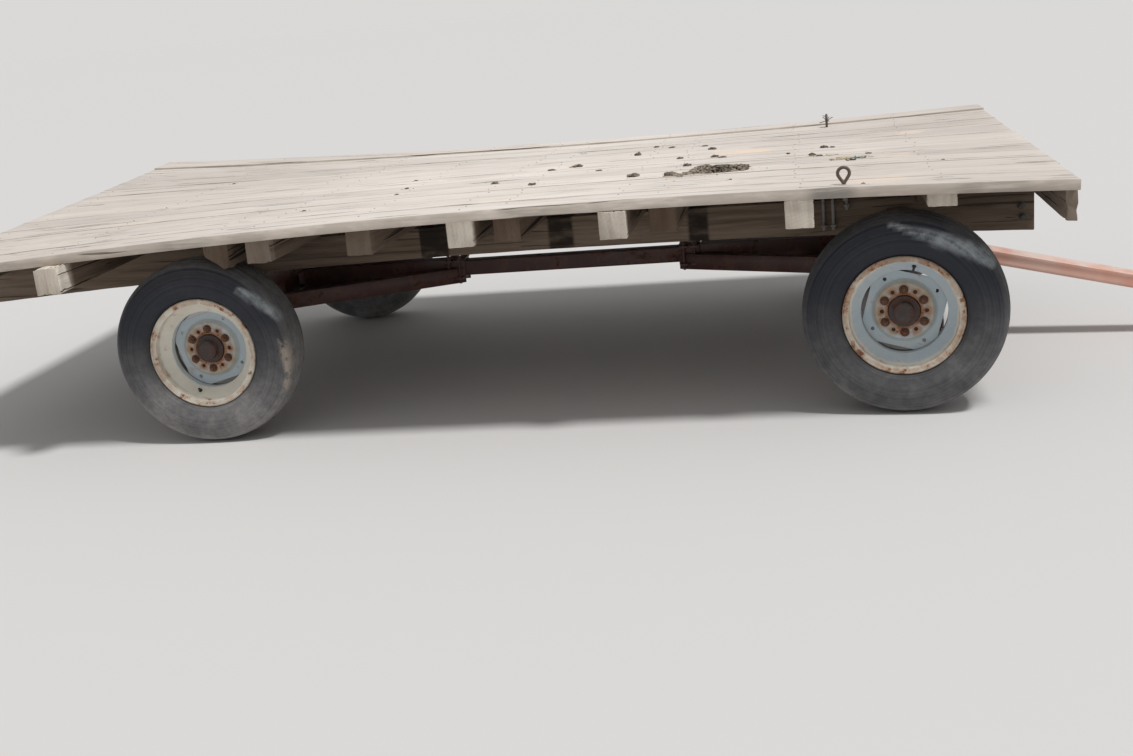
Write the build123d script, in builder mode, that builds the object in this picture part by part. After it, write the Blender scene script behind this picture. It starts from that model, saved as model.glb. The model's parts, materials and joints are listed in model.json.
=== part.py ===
from build123d import *
from math import acos, asin, atan2, cos, degrees, hypot, radians, sin, sqrt
import os

os.makedirs("parts", exist_ok=True)

# Lengths are millimetres. X points to the tongue, Y to the wagon's left, Z up from the floor.

# Deck of lengthwise planks, hogged along its right edge and sagged along its left edge
wheelbase = 2585
rear_overhang = 1110  # deck behind the rear axle
front_overhang = 525  # deck ahead of the front axle
deck_width = 2438
board_count = 13
board_gap = 3
board_thickness = 36
proud_board_rise = 8  # by which the board at the left edge stands above the others
right_edge_heights = (735, 833, 800)  # top of the deck at its rear, middle and front
left_edge_heights = (850, 793, 819)
seat = 0.5  # clearance between pieces that lie on each other
overlap = 1  # by which the joined shapes of one solid run into each other
straight_enough = 0.05  # a bow flatter than this is made as a straight line

# Running gear
track = 1982
tyre_radius = 351
axle_depth = 64
axle_width = 76
reach_size = 66
rear_clamp_ahead = 738  # from the rear axle to the clamp where the rear hounds meet
front_clamp_behind = 825
clamp_length = 90
clamp_wall = 9
hound_width = 45
hound_depth = 66
hound_spread = 420
hound_drop = 28  # how far the hounds' middle lies below the reach's

# Sills across the wagon, under the boards
sill_width = 95
sill_depth = 95
header_thickness = 38
header_depth = 108
header_end_setback = 66
tyre_side_clearance = 130  # from a tyre's inner side in to where a cut sill is whole again
notched_sill_depth = 42
worn_corner_height = 52
worn_corner_width = 70

# Stringers along the wagon, under the sills
stringer_spacing = 1060
stringer_width = 90
stringer_depths = (137, 120, 148)  # at the deck's rear, middle and front
stringer_front_gap = 2

# Bolsters under the stringers, with a stake outside each one
bolster_width = 84
stake_thickness = 14
stake_height = 96
stake_clearance = 1
bolster_foot_inner = 90
bolster_foot_outer = 260

# Steered front end, shown as it stands, turned to the wagon's right
steer_angle = -6
king_pin_inset = 165  # from the wheel's middle plane in to the king pin
king_pin_radius = 16
king_boss_radius = 34
king_boss_height = 110
pin_clearance = 0.3
knuckle_gap = 2
ear_thickness = 14
ear_radius = 32
knuckle_plate_gap = 3  # from the axle's boss to the knuckle's plate
knuckle_plate_thickness = 15
arm_forward = 110
arm_outward = 28
arm_thickness = 16
arm_eye_radius = 20
arm_width = 30
rod_radius = 13
rod_pin_radius = 9
rod_pin_clearance = 0.5
rod_eye_radius = 21
rod_eye_height = 16  # from a tie rod's middle down to the eye's underside
rod_drop = 84  # tie rods' middle below the axle's
steer_pin_ahead = 92
steer_pin_radius = 17
steer_barrel_radius = 33
steer_lug_thickness = 12
steer_lug_half_width = 44
steer_barrel_gap = 1.5
bracket_ear_past_pin = 30
bracket_ear_height = 64
bracket_bar_gap = 10  # between the tongue's root and the bar across the bracket
bracket_bar_thickness = 16
rod_plate_length = 42

# Tongue, hinged to the steering bracket and resting on the floor at its front
tongue_pin_ahead = 158  # from the steering pin
tongue_pin_radius = 13
tongue_length = 1521  # from its hinge pin to the hole of its hitch
tongue_root_width = 124
tongue_tip_width = 84
tongue_depth = 52
tongue_pin_rise = 20  # above the axle's middle
tongue_root_back = 34
tongue_ear_thickness = 12
tongue_side_gap = 2
hitch_radius = 42
hitch_hole_radius = 14
hitch_slot_height = 26
hitch_slot_length = 120

# Wheels: 15 inch rims of 6 inch width, with dished discs
rim_seat_radius = 190.5
rim_flange_radius = 207.5
rim_inside_width = 152
rim_wall = 4.5
rim_lip = 10
rim_edge = 3
rim_edge_drop = 4
rim_flange_depth = 7
rim_slope_run = 26
rim_inner_corner = 3
rim_well_radius = 152
rim_well_half_width = 20
disc_thickness = 6
disc_centre_offset = 10  # outer face of the disc's middle, out from the wheel's middle plane
disc_step = 16  # from the disc's middle in to the ring around it
disc_slope_run = 14
disc_inner_corner = 4
disc_centre_radius = 98
disc_bore_radius = 56
disc_corner_count = 4  # between the flats, where the disc reaches the rim's well
disc_flat_distance = 132
disc_hole_radius = 6.5  # one hole in each corner
disc_hole_circle = 128
lug_hole_count = 12  # every other one takes a nut
lug_hole_circle = 76
lug_hole_radius = 7
hub_barrel_radius = 40
hub_flange_radius = 90
hub_flange_thickness = 13
hub_inner_end = 84
hub_pilot_radius = 54
hub_pilot_length = 9
hub_cap_radius = 36
hub_cap_length = 34
hub_cap_bevel_length = 6
hub_cap_bevel_drop = 9
spindle_radius = 20
spindle_length = 14  # past the wheel's middle plane
spindle_end_gap = 2
tyre_width = 215
tyre_shoulder_half_width = 74
tyre_shoulder_drop = 7
tyre_shoulder_bulge = 12
tyre_shoulder_slope = 9
tyre_bead_rise = 6
tyre_sidewall_peak = 268

# Eyebolts through the deck
eyebolt_behind_axle = 212
right_eyebolt_inset = 66
left_eyebolt_inset = 290
eyebolt_rod_radius = 5.5
eyebolt_eye_radius = 19
eyebolt_eye_height = 38  # from the deck's top up to the eye's middle
eyebolt_leg_drop = 34  # from the eye's middle down to where its two legs meet
eyebolt_neck = 8
eyebolt_hole_clearance = 0.6
eyebolt_nut_radius = 11
eyebolt_nut_height = 9
eyebolt_thread_end = 8

# Steered frame: the tongue's tilt is what brings its hitch down to the floor
axle_z = tyre_radius
tongue_pin_z = axle_z + tongue_pin_rise
tongue_reach = hypot(tongue_length + hitch_radius, tongue_depth / 2)
tongue_tilt = asin(tongue_pin_z / tongue_reach) - atan2(tongue_depth / 2, tongue_length + hitch_radius)
steer = radians(steer_angle)
hitch_out = steer_pin_ahead + cos(steer) * (tongue_pin_ahead + tongue_length * cos(tongue_tilt))
hitch_tip_out = hitch_radius * sqrt(1 - (sin(tongue_tilt) * cos(steer)) ** 2)
hitch_tip_out = hitch_tip_out + tongue_depth / 2 * sin(tongue_tilt) * cos(steer)

# Places along X, with the origin under the middle of the whole wagon
overall_length = rear_overhang + wheelbase + hitch_out + hitch_tip_out
deck_length = rear_overhang + wheelbase + front_overhang
deck_rear = -overall_length / 2
deck_front = deck_rear + deck_length
rear_axle_x = deck_rear + rear_overhang
front_axle_x = rear_axle_x + wheelbase
middle_x = (rear_axle_x + front_axle_x) / 2
steer_pin_x = front_axle_x + steer_pin_ahead
wheel_y = track / 2
king_pin_y = wheel_y - king_pin_inset
reach_z = axle_z + axle_depth / 2 + seat + reach_size / 2
reach_top = reach_z + reach_size / 2
hound_z = reach_z - hound_drop
stringer_y = stringer_spacing / 2
header_rear = deck_front - header_thickness
arm_bottom = axle_z - king_boss_height / 2 - knuckle_gap - ear_thickness
arm_top = arm_bottom + arm_thickness
rod_z = axle_z - rod_drop
wheel_clear_from = wheel_y - tyre_width / 2 - tyre_side_clearance

# Wheels: side is 1 on the wagon's left and -1 on its right
wheel_table = [
    # name, axle place, side, steering angle, degrees from ahead to a corner of its disc
    ("front_left", front_axle_x, 1, steer, 75),
    ("front_right", front_axle_x, -1, steer, 30),
    ("rear_left", rear_axle_x, 1, 0.0, 10),
    ("rear_right", rear_axle_x, -1, 0.0, 60),
]

# Sills: worn ends have lost their lower rear corner over the tyre, cut ends are shallow above it
sill_table = [
    # number, measured from, ahead of it, right end past the deck's edge, left end past it, ends
    ("01", deck_rear, 90, -8, -10, "whole"),
    ("02", deck_rear, 660, 58, 58, "whole"),
    ("03", rear_axle_x, 140, -92, -60, "worn"),
    ("04", rear_axle_x, 293, -116, -40, "whole"),
    ("05", middle_x, -605, -70, -25, "whole"),
    ("06", middle_x, -230, -52, -30, "whole"),
    ("07", middle_x, -77, -118, -75, "whole"),
    ("08", middle_x, 312, 3, -12, "whole"),
    ("09", middle_x, 474, -86, -50, "whole"),
    ("10", front_axle_x, -361, -12, -20, "whole"),
    ("11", front_axle_x, 98, -24, -18, "cut"),
]

# Boards: how far each one's top stands above the deck's surface
board_rises = [0] * (board_count - 1) + [proud_board_rise]


def quadratic(heights, share):
    """Height at a share of the deck's length, through its rear, middle and front heights."""
    rear, middle, front = heights
    return (
        rear * (1 - 2 * share) * (1 - share)
        + middle * 4 * share * (1 - share)
        + front * share * (2 * share - 1)
    )


def deck_top(x, y):
    """Height of the deck's top at a place, on the warped surface between its two edges."""
    share = (x - deck_rear) / deck_length
    right = quadratic(right_edge_heights, share)
    left = quadratic(left_edge_heights, share)
    return right + (left - right) * (y / deck_width + 0.5)


def deck_bottom(x, y):
    return deck_top(x, y) - board_thickness


def sill_top(x, y):
    return deck_bottom(x, y) - seat


def stringer_top(x, y):
    return sill_top(x, y) - sill_depth - seat


def stringer_bottom(x, y):
    return stringer_top(x, y) - quadratic(stringer_depths, (x - deck_rear) / deck_length)


def bow(start, middle, end):
    """An arc through three points, or a line where they are all but in line."""
    chord = start[1] + (end[1] - start[1]) * (middle[0] - start[0]) / (end[0] - start[0])
    if abs(middle[1] - chord) < straight_enough:
        return Line(start, end)
    return ThreePointArc(start, middle, end)


def plank_side(x0, x1, y, top, bottom, rise):
    """Outline of a board or stringer at one of its side faces, following the warp."""
    xm = (x0 + x1) / 2
    high = [(x, top(x, y) + rise) for x in (x0, xm, x1)]
    low = [(x, bottom(x, y)) for x in (x1, xm, x0)]
    with BuildSketch(Plane.XZ.offset(-y)) as outline:
        with BuildLine():
            bow(*high)
            Line(high[2], low[0])
            bow(*low)
            Line(low[2], high[0])
        make_face()
    return outline.sketch


def sill_section(x, y, width, depth, corner=(0, 0)):
    """Outline across a sill, with its lower rear corner cut off by corner, as width and height."""
    x0, x1 = x - width / 2, x + width / 2
    z0, z1 = sill_top(x0, y), sill_top(x1, y)
    cut_width, cut_height = corner
    points = [(x0, z0), (x1, z1), (x1, z1 - depth)]
    if cut_width:
        points += [(x0 + cut_width, z0 - depth), (x0, z0 - depth + cut_height)]
    else:
        points += [(x0, z0 - depth)]
    with BuildSketch(Plane.XZ.offset(-y)) as outline:
        with BuildLine():
            Polyline(*points, close=True)
        make_face()
    return outline.sketch


def plank(x0, x1, y0, y1, top, bottom, rise=0):
    """A board or stringer between two side faces, each following the warp."""
    sides = [plank_side(x0, x1, y, top, bottom, rise) for y in (y0, y1)]
    return loft(sections=sides, ruled=True)


def crosswise(x, y0, y1, width, depth, corner=(0, 0)):
    """A straight length of a sill between two places across the wagon."""
    ends = [sill_section(x, y, width, depth, corner) for y in (y0, y1)]
    return loft(sections=ends, ruled=True)


def write(part, name):
    part.part.label = name
    export_step(part.part, f"parts/{name}.step")


# Deck boards, numbered from the wagon's right
board_width = (deck_width - board_gap * (board_count - 1)) / board_count
right_eyebolt_y = right_eyebolt_inset - deck_width / 2
left_eyebolt_y = deck_width / 2 - left_eyebolt_inset
eyebolt_x = front_axle_x - eyebolt_behind_axle
for index, rise in enumerate(board_rises):
    right_side = -deck_width / 2 + index * (board_width + board_gap)
    left_side = right_side + board_width
    with BuildPart() as board:
        plank(deck_rear, deck_front, right_side, left_side, deck_top, deck_bottom, rise)
        for bolt_y in (right_eyebolt_y, left_eyebolt_y):
            if right_side < bolt_y < left_side:
                with BuildSketch(Plane.XY):
                    with Locations((eyebolt_x, bolt_y)):
                        Circle(eyebolt_rod_radius + eyebolt_hole_clearance)
                extrude(amount=2 * deck_top(eyebolt_x, bolt_y), mode=Mode.SUBTRACT)
    write(board, f"deck_board_{index + 1:02d}")

# Sills
for number, reference, ahead, right_past, left_past, ends in sill_table:
    x = reference + ahead
    right_end = -deck_width / 2 - right_past
    left_end = deck_width / 2 + left_past
    end_depth = notched_sill_depth if ends == "cut" else sill_depth
    corner = (worn_corner_width, worn_corner_height) if ends == "worn" else (0, 0)
    with BuildPart() as sill:
        if ends == "whole":
            crosswise(x, right_end, left_end, sill_width, sill_depth)
        else:
            crosswise(x, -wheel_clear_from, wheel_clear_from, sill_width, sill_depth)
            crosswise(x, right_end, -wheel_clear_from, sill_width, end_depth, corner)
            crosswise(x, wheel_clear_from, left_end, sill_width, end_depth, corner)
    write(sill, "sill_" + number)

# Header board across the deck's front end, cut off short of the deck's right edge
with BuildPart() as header:
    header_x = header_rear + header_thickness / 2
    header_end = deck_width / 2 - header_end_setback
    crosswise(header_x, -header_end, header_end, header_thickness, header_depth)
write(header, "front_header")

# Stringers
stringer_front = header_rear - stringer_front_gap
for name, side in (("left", 1), ("right", -1)):
    right_side = side * stringer_y - stringer_width / 2
    left_side = side * stringer_y + stringer_width / 2
    with BuildPart() as stringer:
        plank(deck_rear, stringer_front, right_side, left_side, stringer_top, stringer_bottom)
    write(stringer, f"stringer_{name}")

# Bolsters: a beam on the reach, with feet down to the axle and a stake at each end
for name, x in (("front", front_axle_x), ("rear", rear_axle_x)):
    stake_inner = stringer_y + stringer_width / 2 + stake_clearance
    stake_outer = stake_inner + stake_thickness
    faces_x = (x - bolster_width / 2, x + bolster_width / 2)
    left_low = min(stringer_bottom(face_x, stringer_y) for face_x in faces_x)
    right_low = min(stringer_bottom(face_x, -stringer_y) for face_x in faces_x)
    slope = (left_low - right_low) / (2 * stringer_y)
    middle_height = (left_low + right_low) / 2 - abs(slope) * stringer_width / 2 - seat

    def bolster_top(y):
        return middle_height + slope * y

    underside = reach_top + seat
    foot = axle_z + axle_depth / 2 + seat
    half = [
        (stake_outer, underside),
        (stake_outer, bolster_top(stake_outer) + stake_height),
        (stake_inner, bolster_top(stake_inner) + stake_height),
        (stake_inner, bolster_top(stake_inner)),
    ]
    other_half = [
        (-stake_inner, bolster_top(-stake_inner)),
        (-stake_inner, bolster_top(-stake_inner) + stake_height),
        (-stake_outer, bolster_top(-stake_outer) + stake_height),
        (-stake_outer, underside),
    ]
    with BuildPart() as bolster:
        with BuildSketch(Plane.YZ.offset(x - bolster_width / 2)):
            with BuildLine():
                Polyline(*half, *other_half, close=True)
            make_face()
        extrude(amount=bolster_width)
        foot_middle = (bolster_foot_inner + bolster_foot_outer) / 2
        with BuildSketch(Plane.XY.offset(foot)):
            with Locations((x, foot_middle), (x, -foot_middle)):
                Rectangle(min(bolster_width, axle_width), bolster_foot_outer - bolster_foot_inner)
        extrude(amount=underside - foot)
    write(bolster, f"{name}_bolster")

# Reach: one square tube from axle to axle
with BuildPart() as reach:
    with BuildSketch(Plane.YZ.offset(rear_axle_x - axle_width / 2)):
        with Locations((0, reach_z)):
            Rectangle(reach_size, reach_size)
    extrude(amount=wheelbase + axle_width)
    fillet(reach.edges().filter_by(Axis.X), radius=reach_size / 9)
write(reach, "reach")

# Clamps round the reach, where each pair of hounds meets it
clamp_half = reach_size / 2 + seat + clamp_wall
for name, x in (
    ("rear", rear_axle_x + rear_clamp_ahead),
    ("front", front_axle_x - front_clamp_behind),
):
    with BuildPart() as clamp:
        with BuildSketch(Plane.YZ.offset(x - clamp_length / 2)):
            with Locations((0, reach_z)):
                Rectangle(2 * clamp_half, 2 * clamp_half)
                Rectangle(reach_size + 2 * seat, reach_size + 2 * seat, mode=Mode.SUBTRACT)
        extrude(amount=clamp_length)
    write(clamp, f"{name}_clamp")

# Hounds: braces that spread from each clamp to the face of its axle
for name, clamp_x, face_x in (
    ("rear", rear_axle_x + rear_clamp_ahead + clamp_length / 2, rear_axle_x + axle_width / 2 + seat),
    (
        "front",
        front_axle_x - front_clamp_behind - clamp_length / 2,
        front_axle_x - axle_width / 2 - seat,
    ),
):
    near = clamp_half + seat
    forward = 1 if face_x > clamp_x else -1
    run = abs(face_x - clamp_x)
    slant = atan2(hound_spread - near, run)
    for side_name, side in (("left", 1), ("right", -1)):
        plan = [
            (clamp_x, side * near),
            (clamp_x + forward * hound_width / sin(slant), side * near),
            (face_x, side * (hound_spread - hound_width / cos(slant))),
            (face_x, side * hound_spread),
        ]
        with BuildPart() as hound:
            with BuildSketch(Plane.XY.offset(hound_z - hound_depth / 2)):
                with BuildLine():
                    Polyline(*plan, close=True)
                make_face()
            extrude(amount=hound_depth)
        write(hound, f"{name}_hound_{side_name}")

# Front axle: a beam with a boss for each king pin and lugs for the steering pin
with BuildPart() as front_axle:
    with BuildSketch(Plane.XZ.offset(-king_pin_y)):
        with Locations((front_axle_x, axle_z)):
            Rectangle(axle_width, axle_depth)
    extrude(amount=2 * king_pin_y)
    with BuildSketch(Plane.XY.offset(axle_z - king_boss_height / 2)):
        with Locations((front_axle_x, king_pin_y), (front_axle_x, -king_pin_y)):
            Circle(king_boss_radius)
    extrude(amount=king_boss_height)
    with BuildSketch(Plane.XY.offset(axle_z - axle_depth / 2)):
        with BuildLine():
            Polyline(
                (front_axle_x, -steer_lug_half_width),
                (steer_pin_x, -steer_lug_half_width),
                (steer_pin_x, steer_lug_half_width),
                (front_axle_x, steer_lug_half_width),
                close=True,
            )
        make_face()
        with Locations((steer_pin_x, 0)):
            Circle(steer_lug_half_width)
    extrude(amount=axle_depth)
    with BuildSketch(Plane.XY.offset(axle_z - axle_depth / 2 + steer_lug_thickness)):
        with Locations((front_axle_x + axle_width / 2 + steer_pin_ahead, 0)):
            Rectangle(2 * steer_pin_ahead, 4 * steer_lug_half_width)
    extrude(amount=axle_depth - 2 * steer_lug_thickness, mode=Mode.SUBTRACT)
    with BuildSketch(Plane.XY.offset(axle_z - king_boss_height)):
        with Locations((front_axle_x, king_pin_y), (front_axle_x, -king_pin_y)):
            Circle(king_pin_radius + pin_clearance)
        with Locations((steer_pin_x, 0)):
            Circle(steer_pin_radius + pin_clearance)
    extrude(amount=2 * king_boss_height, mode=Mode.SUBTRACT)
write(front_axle, "front_axle")

# Rear axle: a beam with a spindle at each end
spindle_end = wheel_y + spindle_length
with BuildPart() as rear_axle:
    beam_end = wheel_y - hub_inner_end - knuckle_gap
    with BuildSketch(Plane.XZ.offset(-beam_end)):
        with Locations((rear_axle_x, axle_z)):
            Rectangle(axle_width, axle_depth)
    extrude(amount=2 * beam_end)
    with BuildSketch(Plane.XZ.offset(-spindle_end)):
        with Locations((rear_axle_x, axle_z)):
            Circle(spindle_radius)
    extrude(amount=2 * spindle_end)
write(rear_axle, "rear_axle")

# Knuckles: each carries a spindle, a king pin and a forward arm, turned by the steering angle
steered_ahead = (cos(steer), sin(steer), 0)
steered_left = (-sin(steer), cos(steer), 0)
for name, side in (("left", 1), ("right", -1)):
    level = Plane(origin=(front_axle_x, side * king_pin_y, 0), x_dir=steered_ahead, z_dir=(0, 0, 1))
    plate_inner = king_boss_radius + knuckle_plate_gap
    plate_outer = plate_inner + knuckle_plate_thickness
    ear_high = axle_z + king_boss_height / 2 + knuckle_gap
    with BuildPart() as knuckle:
        for ear_z in (arm_bottom, ear_high):
            with BuildSketch(level.offset(ear_z)):
                Circle(ear_radius)
                with Locations((0, side * plate_outer / 2)):
                    Rectangle(2 * ear_radius, plate_outer)
            extrude(amount=ear_thickness)
        with BuildSketch(level.offset(arm_bottom)):
            with Locations((0, side * (plate_inner + plate_outer) / 2)):
                Rectangle(2 * ear_radius, knuckle_plate_thickness)
        extrude(amount=ear_high + ear_thickness - arm_bottom)
        with BuildSketch(level.offset(arm_bottom)):
            Circle(king_pin_radius)
        extrude(amount=ear_high - arm_bottom)
        with BuildSketch(level.offset(arm_bottom)):
            with BuildLine():
                reach_out = hypot(arm_forward, arm_outward)
                across_x = arm_outward / reach_out * arm_width / 2
                across_y = arm_forward / reach_out * arm_width / 2
                Polyline(
                    (across_x, -side * across_y),
                    (arm_forward + across_x, side * (arm_outward - across_y)),
                    (arm_forward - across_x, side * (arm_outward + across_y)),
                    (-across_x, side * across_y),
                    close=True,
                )
            make_face()
            with Locations((arm_forward, side * arm_outward)):
                Circle(arm_eye_radius)
        extrude(amount=arm_thickness)
        with BuildSketch(level.offset(arm_bottom)):
            with Locations((arm_forward, side * arm_outward)):
                Circle(rod_pin_radius + rod_pin_clearance)
        extrude(amount=arm_thickness, mode=Mode.SUBTRACT)
        spindle_start = plate_outer - overlap
        out = (side * steered_left[0], side * steered_left[1], 0)
        spindle_origin = (
            front_axle_x + out[0] * spindle_start,
            side * king_pin_y + out[1] * spindle_start,
            axle_z,
        )
        with BuildSketch(Plane(origin=spindle_origin, x_dir=steered_ahead, z_dir=out)):
            Circle(spindle_radius)
        extrude(amount=king_pin_inset + spindle_length - spindle_start)
    write(knuckle, f"knuckle_{name}")

# Steering bracket: a barrel on the steering pin, ears for the tongue and a plate for the tie rods
bracket_level = Plane(origin=(steer_pin_x, 0, 0), x_dir=steered_ahead, z_dir=(0, 0, 1))
barrel_half = axle_depth / 2 - steer_lug_thickness - steer_barrel_gap
ear_inner = tongue_root_width / 2 + tongue_side_gap
ear_outer = ear_inner + tongue_ear_thickness
ear_front = tongue_pin_ahead + bracket_ear_past_pin
ear_bottom = tongue_pin_z - bracket_ear_height / 2
bar_front = tongue_pin_ahead - tongue_root_back - bracket_bar_gap
bar_rear = bar_front - bracket_bar_thickness
with BuildPart() as bracket:
    with BuildSketch(bracket_level.offset(axle_z - barrel_half)):
        Circle(steer_barrel_radius)
        with Locations((bar_front / 2, 0)):
            Rectangle(bar_front, 2 * steer_barrel_radius)
    extrude(amount=2 * barrel_half)
    with BuildSketch(bracket_level.offset(axle_z - axle_depth / 2 - steer_lug_thickness)):
        Circle(steer_pin_radius)
    extrude(amount=axle_depth + 2 * steer_lug_thickness)
    with BuildSketch(bracket_level.offset(ear_bottom)):
        with Locations(((bar_rear + bar_front) / 2, 0)):
            Rectangle(bracket_bar_thickness, 2 * ear_outer)
        for side in (1, -1):
            with Locations(((bar_rear + ear_front) / 2, side * (ear_inner + ear_outer) / 2)):
                Rectangle(ear_front - bar_rear, tongue_ear_thickness)
    extrude(amount=bracket_ear_height)
    with BuildSketch(bracket_level.offset(arm_bottom)):
        with Locations((arm_forward, 0)):
            Rectangle(rod_plate_length, 2 * (arm_outward + arm_eye_radius))
    extrude(amount=arm_thickness)
    with BuildSketch(bracket_level.offset(arm_top - overlap)):
        with Locations(((bar_rear + bar_front) / 2, 0)):
            Rectangle(bracket_bar_thickness, 2 * arm_outward)
    extrude(amount=ear_bottom - arm_top + 2 * overlap)
    with BuildSketch(bracket_level.offset(arm_bottom)):
        with Locations((arm_forward, arm_outward), (arm_forward, -arm_outward)):
            Circle(rod_pin_radius + rod_pin_clearance)
    extrude(amount=arm_thickness, mode=Mode.SUBTRACT)
    pin_origin = (steer_pin_x + sin(steer) * ear_outer, -cos(steer) * ear_outer, 0)
    with BuildSketch(Plane(origin=pin_origin, x_dir=steered_ahead, z_dir=steered_left)):
        with Locations((tongue_pin_ahead, -tongue_pin_z)):
            Circle(tongue_pin_radius)
    extrude(amount=2 * ear_outer)
write(bracket, "steering_bracket")

# Tie rods: each one hangs by a pin at either end, so that it stays parallel as the wagon steers
for name, side in (("left", 1), ("right", -1)):
    inner_x = steer_pin_x + arm_forward * cos(steer) - side * arm_outward * sin(steer)
    inner_y = arm_forward * sin(steer) + side * arm_outward * cos(steer)
    outer_x = inner_x - steer_pin_ahead
    outer_y = inner_y + side * king_pin_y
    with BuildPart() as rod:
        for end_x, end_y in ((inner_x, inner_y), (outer_x, outer_y)):
            with BuildSketch(Plane.XY.offset(rod_z - rod_eye_height)):
                with Locations((end_x, end_y)):
                    Circle(rod_eye_radius)
            extrude(amount=arm_bottom - seat - rod_z + rod_eye_height)
            with BuildSketch(Plane.XY.offset(rod_z)):
                with Locations((end_x, end_y)):
                    Circle(rod_pin_radius)
            extrude(amount=arm_top - rod_z)
        run = hypot(outer_x - inner_x, outer_y - inner_y)
        along = Plane(
            origin=(inner_x, inner_y, rod_z),
            x_dir=(0, 0, 1),
            z_dir=((outer_x - inner_x) / run, (outer_y - inner_y) / run, 0),
        )
        with BuildSketch(along):
            Circle(rod_radius)
        extrude(amount=run)
    write(rod, f"tie_rod_{name}")

# Tongue: a flat bar that narrows to its hitch, tilted down to the floor
tongue_pin_x = steer_pin_x + tongue_pin_ahead * cos(steer)
tongue_pin_y = tongue_pin_ahead * sin(steer)
tongue_along = (cos(steer) * cos(tongue_tilt), sin(steer) * cos(tongue_tilt), -sin(tongue_tilt))
tongue_up = (cos(steer) * sin(tongue_tilt), sin(steer) * sin(tongue_tilt), cos(tongue_tilt))
tongue_level = Plane(origin=(tongue_pin_x, tongue_pin_y, tongue_pin_z), x_dir=tongue_along, z_dir=tongue_up)
with BuildPart() as tongue:
    with BuildSketch(tongue_level.offset(-tongue_depth / 2)):
        with BuildLine():
            Polyline(
                (-tongue_root_back, -tongue_root_width / 2),
                (tongue_length, -tongue_tip_width / 2),
                (tongue_length, tongue_tip_width / 2),
                (-tongue_root_back, tongue_root_width / 2),
                close=True,
            )
        make_face()
        with Locations((tongue_length, 0)):
            Circle(hitch_radius)
    extrude(amount=tongue_depth)
    side_origin = (
        tongue_pin_x + sin(steer) * tongue_root_width,
        tongue_pin_y - cos(steer) * tongue_root_width,
        tongue_pin_z,
    )
    with BuildSketch(Plane(origin=side_origin, x_dir=tongue_along, z_dir=steered_left)):
        Circle(tongue_pin_radius + pin_clearance)
    extrude(amount=2 * tongue_root_width, mode=Mode.SUBTRACT)
    with BuildSketch(tongue_level.offset(-hitch_slot_height / 2)):
        with Locations((tongue_length, 0)):
            Rectangle(hitch_slot_length, 2 * tongue_tip_width)
    extrude(amount=hitch_slot_height, mode=Mode.SUBTRACT)
    with BuildSketch(tongue_level.offset(-tongue_depth)):
        with Locations((tongue_length, 0)):
            Circle(hitch_hole_radius)
    extrude(amount=2 * tongue_depth, mode=Mode.SUBTRACT)
write(tongue, "tongue")

# Wheels
flange_in = rim_inside_width / 2
flange_out = flange_in + rim_lip
seat_in = rim_well_half_width + rim_slope_run


def mirrored(points):
    """The points, then the same ones on the other side of the wheel's middle plane."""
    return points + [(-u, r) for u, r in reversed(points)]


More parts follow.
